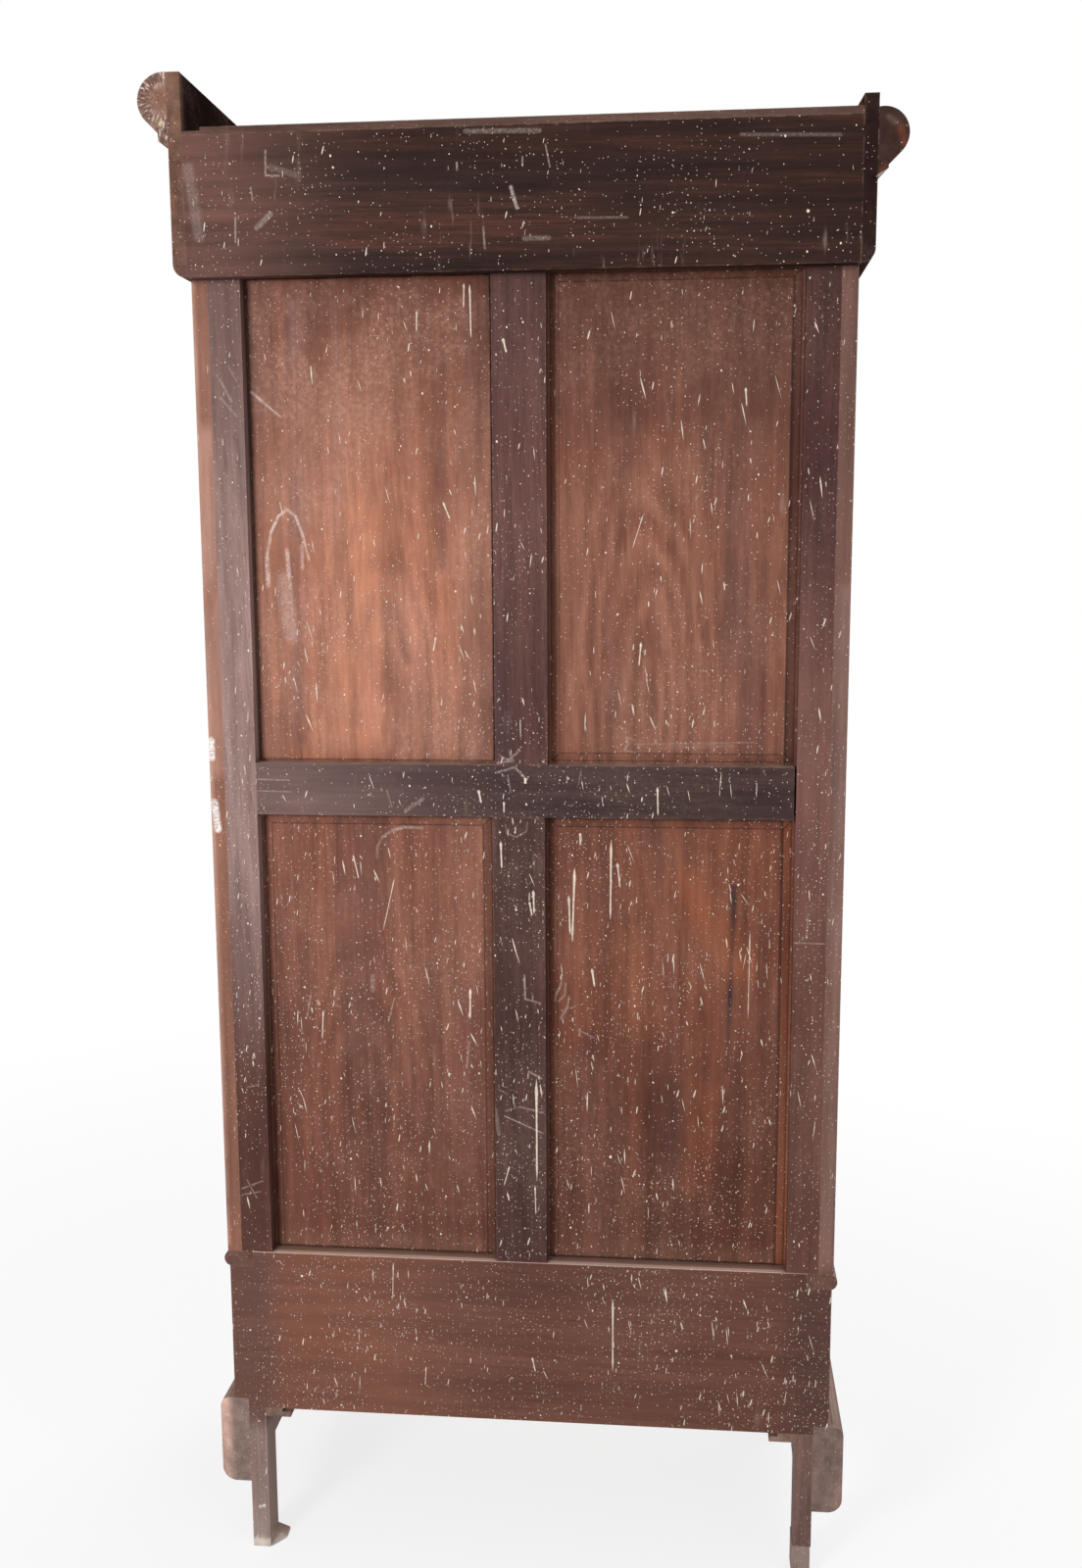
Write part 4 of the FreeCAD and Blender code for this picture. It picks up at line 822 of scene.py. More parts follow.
@dataclass(frozen=True)
class Paint:
    """Dried limewash in thick drips."""

    name: str = "dried_limewash"
    stops: tuple[tuple[float, Colour], ...] = ((0.3, (176, 158, 142)), (0.62, (224, 210, 194)))

    def material(self) -> bpy.types.Material:
        """Builds the finish.

        Returns:
            The material.
        """
        made = bpy.data.materials.new(self.name)
        bench = Bench.fresh(made)
        clouds = CRUST.noise(bench, bench.spots()[0])
        bench.surface(bench.ramp(clouds, self.stops), clouds, (0.55, 0.8), clouds,
                      (0.4, 0.0004))
        return made


def new_piece(name: str, points: np.ndarray, faces: np.ndarray,
              material: bpy.types.Material) -> bpy.types.Object:
    """Makes a mesh object with one material.

    Args:
        name: The piece's name.
        points: Vertex places, one row each, in metres.
        faces: Corner numbers, one row a face.
        material: Its finish.

    Returns:
        The object, at the origin.
    """
    mesh = bpy.data.meshes.new(name)
    mesh.from_pydata(points.tolist(), [], faces.tolist())
    mesh.materials.append(material)
    mesh.shade_smooth()
    mesh.update()
    return new_object(name, mesh)


def new_object(name: str, data: bpy.types.ID) -> bpy.types.Object:
    """Puts a mesh, lamp or camera in the scene.

    Args:
        name: The object's name.
        data: The mesh, lamp or camera.

    Returns:
        Its object, at the origin.
    """
    made = bpy.data.objects.new(name, data)
    bpy.context.scene.collection.objects.link(made)
    return made


def tube_faces(tubes: int, rows: int, columns: int) -> np.ndarray:
    """Returns the faces of many closed grids, each wrapped across its columns.

    Args:
        tubes: How many grids.
        rows: Points along each.
        columns: Points round each.

    Returns:
        Four corner numbers a face.
    """
    tube, row, column = np.meshgrid(np.arange(tubes), np.arange(rows - 1),
                                    np.arange(columns), indexing="ij")
    start = tube * rows * columns + row * columns
    following = (column + 1) % columns
    corners = (start + column, start + following, start + columns + following,
               start + columns + column)
    return np.stack(corners, axis=-1).reshape(-1, 4)


@dataclass
class Drips:
    """Raised limewash drips and streaks on the back.

    A drip is a flattened tube whose crown stands proud by a share of its half width.  In
    a run that half width swells at the head and again a little at the tail; in a flick it
    follows a sine that leans towards the head.  Swellings are their place, reach and
    share.  Named runs are head x and z, tail x and z and width, in millimetres.  Random
    lengths and widths are the least, the span and a power that keeps most of them small.
    """

    thickness: float = 0.30
    sunk: float = 0.0002
    rows: int = 9
    columns: int = 6
    random_count: int = 270
    seed: int = 11
    spread_x: float = 0.43
    lowest: float = 0.27
    spread_z: float = 1.65
    spread_shape: tuple[float, float] = (1.25, 1.55)
    clump: float = 0.6
    lengths: tuple[float, float, float] = (0.008, 0.026, 1.8)
    widths: tuple[float, float, float] = (0.0010, 0.0018, 2.0)
    lean: float = -8.0
    lean_spread: float = 8.0
    head: tuple[float, float, float] = (0.12, 0.12, 0.50)
    tail: tuple[float, float, float] = (0.93, 0.07, 0.22)
    named: tuple[tuple[float, float, float, float, float], ...] = (
        (-75, 1103, -71, 990, 5.5), (-66, 1061, -68, 1000, 4.8), (-128, 1144, -127, 1024, 4.8),
        (-137, 1111, -141, 1073, 4.1), (-83, 1154, -83, 1135, 4.8), (31, 1144, 30, 1103, 4.8),
        (-16, 1072, -17, 1036, 4.8), (-10, 1055, -14, 1033, 4.1), (-195, 1226, -196, 1184, 4.1),
        (63, 1219, 59, 1199, 5.5), (26, 1202, 26, 1185, 4.1), (-6, 1237, -5, 1228, 8.2),
        (78, 1928, 79, 1894, 3.4), (70, 1926, 69, 1853, 4.1), (145, 1892, 146, 1864, 3.4),
        (22, 1850, 17, 1830, 5.5), (-19, 787, -19, 627, 5.5), (-133, 444, -133, 325, 4.1),
        (-170, 1431, -167, 1396, 4.1), (254, 1117, 246, 1080, 3.4), (81, 917, 82, 869, 5.5),
        (305, 878, 308, 832, 3.4), (192, 1084, 211, 1002, 2.1), (-312, 1781, -314, 1755, 4.1),
        (-172, 1609, -157, 1562, 2.1), (-100, 951, -104, 923, 5.5), (-330, 1012, -329, 879, 2.1),
        (112, 1629, 102, 1604, 4.1), (125, 1438, 129, 1417, 4.1), (202, 488, 204, 429, 2.1),
        (-10, 343, -15, 319, 3.4), (154, 320, 156, 288, 2.1), (-16, 620, -17, 573, 2.7),
        (22, 649, 31, 617, 2.7),
    )
    panels_x: tuple[tuple[float, float], ...] = ((-0.372, -0.050), (0.055, 0.372))
    panels_z: tuple[tuple[float, float], ...] = ((0.512, 1.160), (1.275, 1.925))
    edges_x: tuple[tuple[float, float], ...] = ((-0.398, -0.370), (-0.054, -0.028),
                                                (0.028, 0.058), (0.370, 0.398))
    edges_z: tuple[tuple[float, float], ...] = ((0.486, 0.514), (1.156, 1.184),
                                                (1.250, 1.278), (1.916, 1.94))
    frame_foot: float = 0.49

    def surface(self, x: np.ndarray, z: np.ndarray) -> np.ndarray:
        """Returns the world Y of the back at each point: panel faces lie deeper."""
        inside = self.within(x, self.panels_x) & self.within(z, self.panels_z)
        return np.where(inside, PANEL_FACE, BACK_FACE)

    @staticmethod
    def within(places: np.ndarray, strips: tuple[tuple[float, float], ...]) -> np.ndarray:
        """Tells which places lie inside any of the strips."""
        return np.any([(places > low) & (places < high) for low, high in strips], axis=0)

    def random_rows(self) -> np.ndarray:
        """Scatters seeded streaks.

        They crowd where two sines and a chance add up high, and keep off bevels, gaps and
        arrises.

        Returns:
            Rows of head x, head z, tail x, tail z and width, in metres.
        """
        chance = np.random.default_rng(self.seed)
        count = self.random_count * 3
        x = chance.uniform(-self.spread_x, self.spread_x, count)
        z = self.lowest + self.spread_z * chance.beta(*self.spread_shape, count)
        clumps = np.sin(x * 17.0 + 1.0) * np.sin(z * 9.0 + x * 4.0)
        clumps += chance.normal(0, self.clump, count)
        least, span, power = self.lengths
        length = least + span * chance.random(count) ** power
        lean = np.radians(chance.normal(self.lean, self.lean_spread, count))
        least, span, power = self.widths
        width = least + span * chance.random(count) ** power
        tail_x = x + np.sin(lean) * length
        tail_z = z - np.cos(lean) * length
        clear = self.surface(tail_x, tail_z) == self.surface(x, z)
        for ends_x, ends_z in ((x, z), (tail_x, tail_z)):
            on_frame = self.within(ends_x, self.edges_x) & (ends_z > self.frame_foot)
            clear &= ~(on_frame | self.within(ends_z, self.edges_z))
        rows = np.stack([x, z, tail_x, tail_z, width], axis=1)
        order = np.argsort(-clumps + np.where(clear, 0.0, 99.0))
        return rows[order[: self.random_count]]

    def build(self) -> bpy.types.Object:
        """Builds every drip, as one piece on the case.

        Returns:
            The piece.
        """
        runs, flicks = np.asarray(self.named, float) * MM, self.random_rows()
        rows = np.concatenate([runs, flicks])
        x0, z0, x1, z1, width = rows.T[:, :, None, None]
        along = np.linspace(0.0, 1.0, self.rows)[None, :, None]
        round_it = (np.arange(self.columns) / self.columns * math.tau)[None, None, :]
        swollen = 1.0 - self.head[2]
        for place, reach, share in (self.head, self.tail):
            swollen = swollen + share * np.exp(-(((along - place) / reach) ** 2))
        run = np.sqrt(np.clip(1.0 - (2.0 * along - 1.0) ** 10, 0.0, 1.0)) * swollen
        flick = np.sin(math.pi * along ** 0.7) * np.sin(math.pi * along) ** 0.3
        is_run = (np.arange(len(rows)) < len(runs))[:, None, None]
        half = width / 2.0 * np.where(is_run, run, np.maximum(flick, 0.0))
        length = np.hypot(x1 - x0, z1 - z0)
        side_x, side_z = (z1 - z0) / length, -(x1 - x0) / length
        across = half * np.cos(round_it)
        x = x0 + (x1 - x0) * along + side_x * across
        z = z0 + (z1 - z0) * along + side_z * across
        base = self.surface((x0 + x1) / 2.0, (z0 + z1) / 2.0)
        crown = half * self.thickness * np.maximum(np.sin(round_it), 0.0)
        y = base + crown - self.sunk * (np.sin(round_it) < 0.0)
        points = np.stack(np.broadcast_arrays(x, y, z), axis=-1).reshape(-1, 3)
        faces = tube_faces(len(rows), self.rows, self.columns)
        made = new_piece("limewash_drips", points, faces, Paint().material())
        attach(made, "case")
        LOG.info("limewash_drips: %d drips", len(rows))
        return made


@dataclass
class Escutcheon:
    """The pierced brass plate round the keyhole of the right door.

    The plate is a grid between the keyhole's outline and its own outline, an ellipse
    whose radius waves six times round.
    """

    centre_x: float = 0.036
    centre_z: float = 1.100
    half_width: float = 0.017
    half_height: float = 0.029
    waves: float = 6.0
    wave: float = 0.07
    bevel_x: float = 0.94
    bevel_z: float = 0.965
    thickness: float = 0.0012
    rim: float = 0.0005
    hole: float = 0.0042
    slot: float = 0.0018
    drop: float = 0.0176
    steps: int = 72

    def keyhole(self, angle: np.ndarray) -> np.ndarray:
        """Works out the keyhole's radius: a circle, drawn out downwards into a slot.

        Args:
            angle: Directions from its middle, anticlockwise from +X.

        Returns:
            The radius in each direction.
        """
        sideways = np.maximum(np.abs(np.cos(angle)), 1e-6)
        downward = np.maximum(-np.sin(angle), 1e-6)
        slot = np.minimum(self.slot / sideways, self.drop / downward)
        return np.where(np.sin(angle) < 0.0, np.maximum(slot, self.hole), self.hole)

    def build(self, material: bpy.types.Material) -> bpy.types.Object:
        """Builds the plate, on the right door.

        Args:
            material: Its finish.

        Returns:
            The plate.
        """
        angle = np.linspace(0.0, math.tau, self.steps, endpoint=False)
        outer = 1.0 + self.wave * np.cos(self.waves * angle)
        edge_x = self.half_width * outer * np.cos(angle)
        edge_z = self.half_height * outer * np.sin(angle)
        inner = self.keyhole(angle)
        hole_x, hole_z = inner * np.cos(angle), inner * np.sin(angle)
        front = DOOR_FACE - self.thickness
        rings = [(hole_x, hole_z, DOOR_FACE), (hole_x, hole_z, front),
                 (edge_x * self.bevel_x, edge_z * self.bevel_z, front),
                 (edge_x, edge_z, front + self.rim), (edge_x, edge_z, DOOR_FACE)]
        loops = [np.stack([self.centre_x + x, np.full(x.shape, y), self.centre_z + z], axis=-1)
                 for x, z, y in rings]
        points = np.stack(loops + [loops[0]]).reshape(-1, 3)
        faces = tube_faces(1, len(rings) + 1, self.steps)[:, ::-1]
        made = new_piece("escutcheon", points, faces, material)
        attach(made, "door_right")
        LOG.info("escutcheon: %d faces", len(faces))
        return made


@dataclass
class Pegs:
    """Turned pegs that pin the tenons of the door frames.

    Each peg is a low dome: the radius and the height follow a quarter circle.
    """

    radius: float = 0.0042
    proud: float = 0.0006
    rings: int = 5
    steps: int = 14
    levels: tuple[float, ...] = (0.530, 0.572, 1.874, 1.906)
    places_x: tuple[float, ...] = (0.054, 0.384)

    def build(self, name: str, sign: int, material: bpy.types.Material) -> bpy.types.Object:
        """Builds the pegs of one door.

        Args:
            name: The door, left or right.
            sign: -1 for left and 1 for right.
            material: Their finish.

        Returns:
            The pegs as one piece.
        """
        centre_x, centre_z = np.meshgrid(np.asarray(self.places_x) * sign, self.levels)
        centre_x, centre_z = centre_x.ravel()[:, None, None], centre_z.ravel()[:, None, None]
        rise = np.linspace(0.0, math.pi / 2.0, self.rings)[None, :, None]
        angle = (np.arange(self.steps) / self.steps * math.tau)[None, None, :]
        spread = self.radius * np.cos(rise)
        x = centre_x + spread * np.cos(angle)
        z = centre_z + spread * np.sin(angle)
        y = DOOR_FACE - self.proud * np.sin(rise)
        points = np.stack(np.broadcast_arrays(x, y, z), axis=-1).reshape(-1, 3)
        faces = tube_faces(len(centre_x), self.rings, self.steps)
        made = new_piece(f"door_pegs_{name}", points, faces, material)
        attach(made, f"door_{name}")
        LOG.info("door_pegs_%s: %d pegs", name, len(centre_x))
        return made


ARCH_MARKS = strokes(
    (369, 1512, 370, 1552, 9, 0.72), (362, 1590, 6, 0.8), (350, 1612, 6, 0.87),
    (338, 1620, 6, 0.87), (326, 1610, 6, 0.8), (316, 1582, 6, 0.72), (308, 1548, 5, 0.58),
    (340, 1562, 337, 1508, 9, 0.61), (335, 1470, 8, 0.35), (318, 1568, 318, 1536, 7, 0.49),
    (338, 1440, 346, 1520, 30, 0.29), (386, 1785, 369, 1771, 6, 0.65), (344, 1750, 5, 0.51))
ARC_MARKS = strokes(
    (218, 1113, 217, 1130, 6, 0.3), (209, 1144, 6, 0.34), (194, 1154, 6, 0.4), (176, 1159, 7, 0.6),
    (150, 1158, 6, 0.5), (228, 932, 229, 910, 10, 0.35), (324, 900, 330, 867, 3, 0.55),
    (196, 899, 206, 862, 3, 0.5), (84, 834, 88, 793, 3, 0.55))
BRIGHT_STAINS = (
    Stain(318, 1900, 332, 1290, 44, 0.62, (112, 80, 76)),
    Stain(262, 1900, 268, 1560, 30, 0.4, (122, 84, 76)),
    Stain(112, 1830, 116, 1540, 32, 0.62, (98, 62, 56)),
    Stain(228, 1600, 246, 1300, 120, 0.6, (196, 130, 100)),
    Stain(360, 1750, 366, 1330, 26, 0.4, (184, 120, 92)),
    Stain(180, 1500, 150, 1380, 90, 0.35, (182, 128, 108)),
    Stain(176, 1432, 168, 1404, 22, 0.55, (84, 58, 54)))
CORNICE_MARKS = strokes(
    (343, 2100, 344, 2068, 4, 0.55), (325, 2067, 4, 0.55), (388, 2014, 389, 1982, 4, 0.55),
    (358, 2000, 339, 2017, 11, 0.4), (45, 1993, 43, 1965, 4, 0.45), (7, 2044, -1, 2017, 7, 0.7),
    (365, 2053, 363, 2036, 3, 0.55), (337, 2079, 304, 2068, 12, 0.18),
    (452, 2080, 440, 1990, 22, 0.22), (-430, 2098, -300, 2102, 7, 0.2),
    (68, 2117, -32, 2115, 9, 0.3), (-11, 1977, -44, 1977, 9, 0.28), (80, 2077, 80, 2068, 4, 0.6),
    (-84, 2002, -150, 2001, 5, 0.22), (-9, 2082, -9, 2071, 3, 0.7),
    (-40, 2097, -46, 2068, 3, 0.55))
LOWER_MUNTIN_MARKS = strokes(
    (24, 1168, 22, 1156, 3, 0.35), (10, 1150, 3, 0.35), (-6, 1158, 3, 0.35), (-8, 1172, 3, 0.3),
    (-2, 944, -3, 908, 4, 0.7), (-26, 902, 4, 0.5), (-14, 914, -14, 906, 3, 0.5),
    (-8, 797, -26, 787, 5, 0.5), (29, 727, -28, 702, 3, 0.6), (27, 735, 6, 742, 3, 0.4),
    (-28, 734, 4, 0.45), (-4, 737, -28, 740, 3, 0.35), (38, 768, 28, 763, 3, 0.4),
    (42, 736, 38, 698, 8, 0.3))
MUNTIN_MARKS = strokes(
    (20, 1262, 2, 1276, 4, 0.5), (30, 1268, 20, 1262, 5, 0.5), (12, 1262, 34, 1258, 6, 0.5),
    (16, 1274, 14, 1262, 6, 0.45))
RAIL_MARKS = strokes(
    (36, 1244, 10, 1252, 5, 0.5), (-4, 1238, 5, 0.5), (20, 1240, 16, 1216, 3, 0.5),
    (-86, 1250, -82, 1228, 3, 0.3), (391, 1231, 342, 1230, 3, 0.45),
    (391, 1214, 339, 1213, 3, 0.35), (197, 1216, 190, 1192, 3, 0.35),
    (170, 1187, 144, 1205, 8, 0.35))
SCRIBBLE = strokes(
    (-162, 1290, -150, 1294, 4, 0.42), (-152, 1284, 4, 0.42), (-146, 1276, 4, 0.36),
    (-162, 1272, 4, 0.3), (-162, 1284, -330, 1288, 4, 0.26), (-200, 1280, -300, 1283, 9, 0.14))
SHRUNK_MARKS = strokes(
    (-55, 938, -54, 925, 4, 0.45), (-47, 910, 5, 0.4), (-45, 900, 5, 0.3),
    (-61, 928, -60, 910, 3, 0.55), (-51, 900, 5, 0.35), (-66, 908, -64, 892, 3, 0.6),
    (-54, 874, 6, 0.4), (-82, 858, -82, 848, 4, 0.6), (-83, 855, -103, 845, 3, 0.5))
SHRUNK_STAINS = (
    Stain(-306, 1076, -300, 800, 17, 0.9, (54, 38, 40)),
    Stain(-307, 1060, -302, 900, 9, 1.0, (44, 32, 36)),
    Stain(-206, 760, -214, 660, 84, 0.6, (66, 42, 40)),
    Stain(-96, 840, -90, 700, 60, 0.55, (68, 42, 40)),
    Stain(-240, 1080, -310, 960, 90, 0.45, (156, 88, 56)),
    Stain(-150, 980, -170, 880, 110, 0.4, (142, 84, 58)),
    Stain(-270, 760, -250, 620, 70, 0.4, (140, 78, 54)))
STILE_MARKS = strokes(
    (424, 1800, 408, 1770, 5, 0.4), (424, 1775, 402, 1750, 5, 0.34),
    (410, 1815, 400, 1798, 4, 0.3), (420, 760, 404, 764, 4, 0.3), (434, 598, 402, 611, 3, 0.5),
    (434, 588, 405, 594, 3, 0.45), (426, 612, 412, 584, 3, 0.4))
STRIP_MARKS = strokes(
    (456, 1288, 456, 1262, 13, 1.8), (455, 1196, 451, 1156, 15, 1.8))


class Finishes(Enum):
    """The woods of the kas."""

    CORNICE_BACK = Wood(
        (30, 16, 13), (46, 26, 21), (84, 49, 38), Grain.ACROSS, rings=0.1, streaks=1.2,
        stain=(33, 19, 17), stain_share=0.5, haze_share=0.02, weather=0.8, smears=0.8,
        # Lighter towards the +X end: partly dust, partly painted light.
        fades=(Fade("X", 0.16, 0.46, (101, 69, 62), 0.74),), marks=CORNICE_MARKS,
        chalk=(178, 162, 154))
    SIDE_ROLL_RIGHT = Wood(
        (79, 44, 30), (115, 70, 50), (149, 101, 72), Grain.DEEP, rings=0.1, stain=(64, 44, 38),
        stain_share=0.4, bare=(159, 132, 111), wear=0.6, dust=0.5, specular=0.03,
        haze=(190, 176, 168), haze_share=0.6,
        fades=(Fade("Y", 0.2965, 0.2985, (126, 94, 80), 0.85, 0.0),), spokes=(0.483, 2.169),
        stains=(Stain(486, 2172, 476, 2158, 34, 0.7, (125, 75, 52)),
                Stain(494, 2142, 488, 2138, 16, 0.8, (186, 168, 129)),
                Stain(470, 2200, 480, 2200, 12, 0.5, (191, 168, 156))))
    SIDE_ROLL_LEFT = Wood(
        (74, 38, 25), (108, 62, 42), (140, 90, 62), Grain.DEEP, rings=0.1, stain=(46, 32, 30),
        stain_share=0.5, bare=(140, 110, 92), wear=0.6, dust=0.5, specular=0.03,
        fades=(Fade("Y", 0.2965, 0.2985, (54, 40, 38), 0.9, 0.0),),
        stains=(Stain(-508, 2104, -512, 2086, 18, 0.7, (110, 62, 44)),
                Stain(-482, 2052, -488, 2058, 14, 0.8, (104, 58, 44)),
                Stain(-492, 2118, -500, 2112, 14, 0.6, (112, 94, 82))))
    CORNICE_SIDE_RIGHT = replace(
        SIDE_ROLL_LEFT, rings=0.15, stain=(46, 30, 28), bare=(150, 118, 92), dust=0.6,
        specular=0.0, haze_share=0.2, weather=0.6,
        fades=(Fade("Z", 1.972, 1.958, (58, 38, 32), 0.7, 0.0),
               # Fade X: near black on the inner face: painted shade. Fade Y: lighter towards the
               # rear: partly wear, partly painted light.
               Fade("X", 0.4625, 0.4605, (24, 18, 18), 0.96, 0.0),
               Fade("Y", 0.278, 0.3, (104, 76, 64), 0.85, 0.0)),
        stains=(Stain(470, 2100, 470, 1940, 60, 0.75, (78, 54, 47)),
                Stain(470, 2200, 470, 2150, 60, 0.6, (122, 92, 80))))
    CORNICE_SIDE_LEFT = replace(
        SIDE_ROLL_LEFT, rings=0.15, stain=(40, 26, 26), dust=0.6, specular=0.0,
        fades=(Fade("Z", 1.972, 1.958, (46, 31, 28), 0.9, 0.0),
               Fade("Y", 0.235, 0.29, (52, 36, 32), 0.8),
               Fade("Y", 0.2965, 0.2985, (40, 28, 27), 0.9, 0.0)),
        stains=())
    ROLL_FRONT = Wood(
        (70, 38, 26), (104, 60, 40), (140, 88, 60), Grain.ACROSS, rings=0.12, wear=0.35,
        splash=0.0, roughness=0.48, varnish=0.12, specular=0.4)
    BRIGHT_PANEL = Wood(
        (118, 72, 56), (152, 98, 76), (182, 124, 98), ring_pitch=0.009, rings=0.08, streaks=0.55,
        fibres=0.45, stain=(112, 80, 72), stain_share=0.6, haze=(194, 150, 132), haze_share=0.36,
        painted_shade_share=0.3, arris=0.8, arches=(0.205, 1.3, 0.075, 0.3),
        # Fade Z: darker towards the top: partly the wood's own tone, partly painted shade.
        fades=(Fade("Z", 1.55, 1.93, (82, 44, 33), 0.87),
               Fade("X", 0.33, 0.4, (112, 76, 66), 0.5)),
        stains=BRIGHT_STAINS, marks=ARCH_MARKS, chalk=(206, 184, 176), tilt=4.0)
    WARM_PANEL = Wood(
        (92, 55, 43), (127, 81, 65), (156, 106, 86), ring_pitch=0.009, rings=0.08, streaks=0.6,
        fibres=0.5, stain=(88, 58, 52), stain_share=0.6, haze=(160, 120, 102), haze_share=0.32,
        painted_shade_share=0.2, arris=0.9, arches=(-0.18, 1.36, 0.09, 0.34),
        # Fade Z: darker towards the top: partly the wood's own tone, partly painted shade.
        fades=(Fade("Z", 1.5, 1.9, (66, 35, 27), 0.8),
               # Fade X -0.3725: a dark strip beside the field: painted shadow of the raised field;
               # Fade X -0.378: fresh wood of the shrunken panel.
               Fade("X", -0.3725, -0.374, (66, 42, 36), 0.8, 0.0),
               Fade("X", -0.378, -0.3795, (104, 66, 57), 0.85, 0.0)),
        marks=SCRIBBLE)
    LOWER_PANEL = replace(
        WARM_PANEL, dark=(88, 52, 41), middle=(122, 76, 61), light=(150, 98, 79), ring_pitch=0.008,
        stain_share=0.55, arris=1.0, arches=(0.24, 0.72, 0.08, 0.3),
        fades=(Fade("Z", 1.0, 0.52, (87, 51, 39), 0.68), Fade("Z", 0.54, 0.5, (130, 92, 78), 0.4)),
        marks=ARC_MARKS)
    LOWER_PANEL_SHRUNK = replace(
        LOWER_PANEL, dark=(82, 46, 35), middle=(112, 66, 50), light=(142, 88, 68),
        stain=(72, 48, 46), haze=(150, 110, 92), haze_share=0.28, arches=None,
        fades=(Fade("Z", 1.05, 0.52, (73, 42, 32), 0.75), Fade("Z", 0.54, 0.5, (120, 84, 70), 0.4),
               # Fade X -0.3705: a dark strip on the bevel beside the field: painted shadow; Fade X
               # -0.374: fresh wood of the shrunken panel.
               Fade("X", -0.3705, -0.372, (66, 36, 28), 0.8, 0.0),
               Fade("X", -0.374, -0.376, (132, 78, 58), 0.9, 0.0)),
        stains=SHRUNK_STAINS, marks=SHRUNK_MARKS)
    STILE_DUSTY = Wood(
        (100, 76, 71), (136, 110, 105), (160, 135, 130), rings=0.08, streaks=0.7,
        stain=(104, 78, 78), stain_share=0.5,
        # Fade Z 1.6 to 1.88: darker towards the top: partly the wood's own tone, partly painted
        # shade.
        fades=(Fade("Z", 1.1, 0.72, (71, 41, 34), 0.95), Fade("Z", 1.6, 1.88, (88, 60, 56), 0.75)),
        marks=STILE_MARKS)
    STILE_DARK = Wood(
        (45, 25, 24), (69, 41, 37), (97, 61, 54), rings=0.08, streaks=0.8, stain=(56, 37, 40),
        stain_share=0.5,
        fades=(Fade("Z", 1.75, 1.25, (120, 82, 74), 0.75),
               Fade("Z", 1.2, 0.85, (87, 56, 47), 0.8)),
        marks=strokes((-392, 1001, -438, 1000, 3, 0.45), (-411, 1043, -410, 1008, 4, 0.35)))
    MUNTIN = Wood(
        (58, 35, 35), (86, 56, 52), (112, 77, 71), rings=0.06, streaks=0.6, stain=(60, 42, 45),
        stain_share=0.5, wear=0.6, marks=MUNTIN_MARKS)
    LOWER_MUNTIN = replace(
        MUNTIN, dark=(49, 30, 29), middle=(70, 46, 43), light=(93, 63, 58), stain=(53, 37, 40),
        marks=LOWER_MUNTIN_MARKS)
    RAIL = Wood(
        (42, 30, 29), (66, 48, 45), (94, 71, 66), Grain.ACROSS, rings=0.1, streaks=1.2,
        stain=(50, 38, 40), stain_share=0.5, wear=0.6, weather=0.4,
        fades=(Fade("X", 0.02, 0.34, (124, 98, 94)),), marks=RAIL_MARKS)
    BASE_BOARD = Wood(
        (72, 42, 34), (98, 63, 52), (123, 85, 69), Grain.ACROSS, rings=0.05, streaks=0.45,
        fibres=0.4, stain=(74, 50, 46), stain_share=0.4, dust=0.15, haze=(140, 104, 88),
        haze_share=0.16, weather=0.3,
        fades=(Fade("X", 0.0, 0.26, (124, 79, 62), 0.55), Fade("X", 0.37, 0.42, (85, 62, 58), 0.7),
               # Fade Z: the pale top of the ledge and a thin line along its arris: partly dust,
               # partly painted highlight. Fade Y brings the inner part of the ledge back to brown.
               Fade("Z", 0.495, 0.4962, (206, 178, 162), 0.9, 0.3),
               Fade("Y", 0.2735, 0.27, (128, 88, 73), 0.9, 0.5),
               Fade("X", -0.36, -0.42, (68, 49, 47))))
    CASE_SIDE_RIGHT = Wood(
        (69, 34, 22), (103, 57, 38), (135, 83, 56), ring_pitch=0.01, rings=0.16,
        stain=(65, 36, 28), splash=0.55, specular=0.2,
        fades=(Fade("Y", 0.262, 0.274, (124, 83, 68), 0.9),),
        stains=(Stain(461, 1930, 461, 510, 20, 0.7, (181, 141, 124)),
                Stain(450, 1720, 450, 1250, 60, 0.7, (172, 128, 112))),
        marks=STRIP_MARKS, chalk=(226, 222, 218))
    CASE_SIDE_LEFT = Wood(
        (74, 38, 25), (110, 62, 42), (144, 90, 62), ring_pitch=0.01, rings=0.16,
        stain=(70, 40, 32), splash=0.7, specular=0.3,
        fades=(Fade("Y", 0.262, 0.274, (98, 67, 58), 0.9),),
        stains=(Stain(-452, 1500, -452, 520, 50, 0.6, (128, 98, 90)),))
    LEG = Wood(
        (100, 79, 73), (135, 112, 105), (164, 142, 134), rings=0.12, stain=(98, 76, 72),
        stain_share=0.6, dust=0.9, splash=0.9, painted_shade_share=0.2, weather=0.3,
        fades=(Fade("Z", 0.11, 0.02, (152, 137, 129)),
               # Fade X 0.4115: a lighter inner face: painted light. Fade X 0.407: the pale toe:
               # partly dust, partly painted light.
               Fade("X", 0.4115, 0.4095, (168, 145, 136), 0.6, 0.0),
               Fade("X", 0.407, 0.404, (222, 214, 208), 0.85, 0.0),
               Fade("Z", 0.018, 0.01, (216, 208, 198), 0.7),
               Fade("Z", 0.19, 0.235, (82, 53, 48), 0.85)),
        stains=(Stain(402, 176, 401, 156, 4, 1.0, (56, 44, 40)),
                Stain(424, 68, 423, 69, 8, 1.0, (228, 224, 218)),
                Stain(418, 70, 417, 71, 8, 1.0, (228, 224, 218)),
                Stain(421, 18, 418, 12, 13, 0.9, (184, 166, 124)),
                Stain(437, 250, 437, 112, 5, 1.0, (46, 35, 32))))
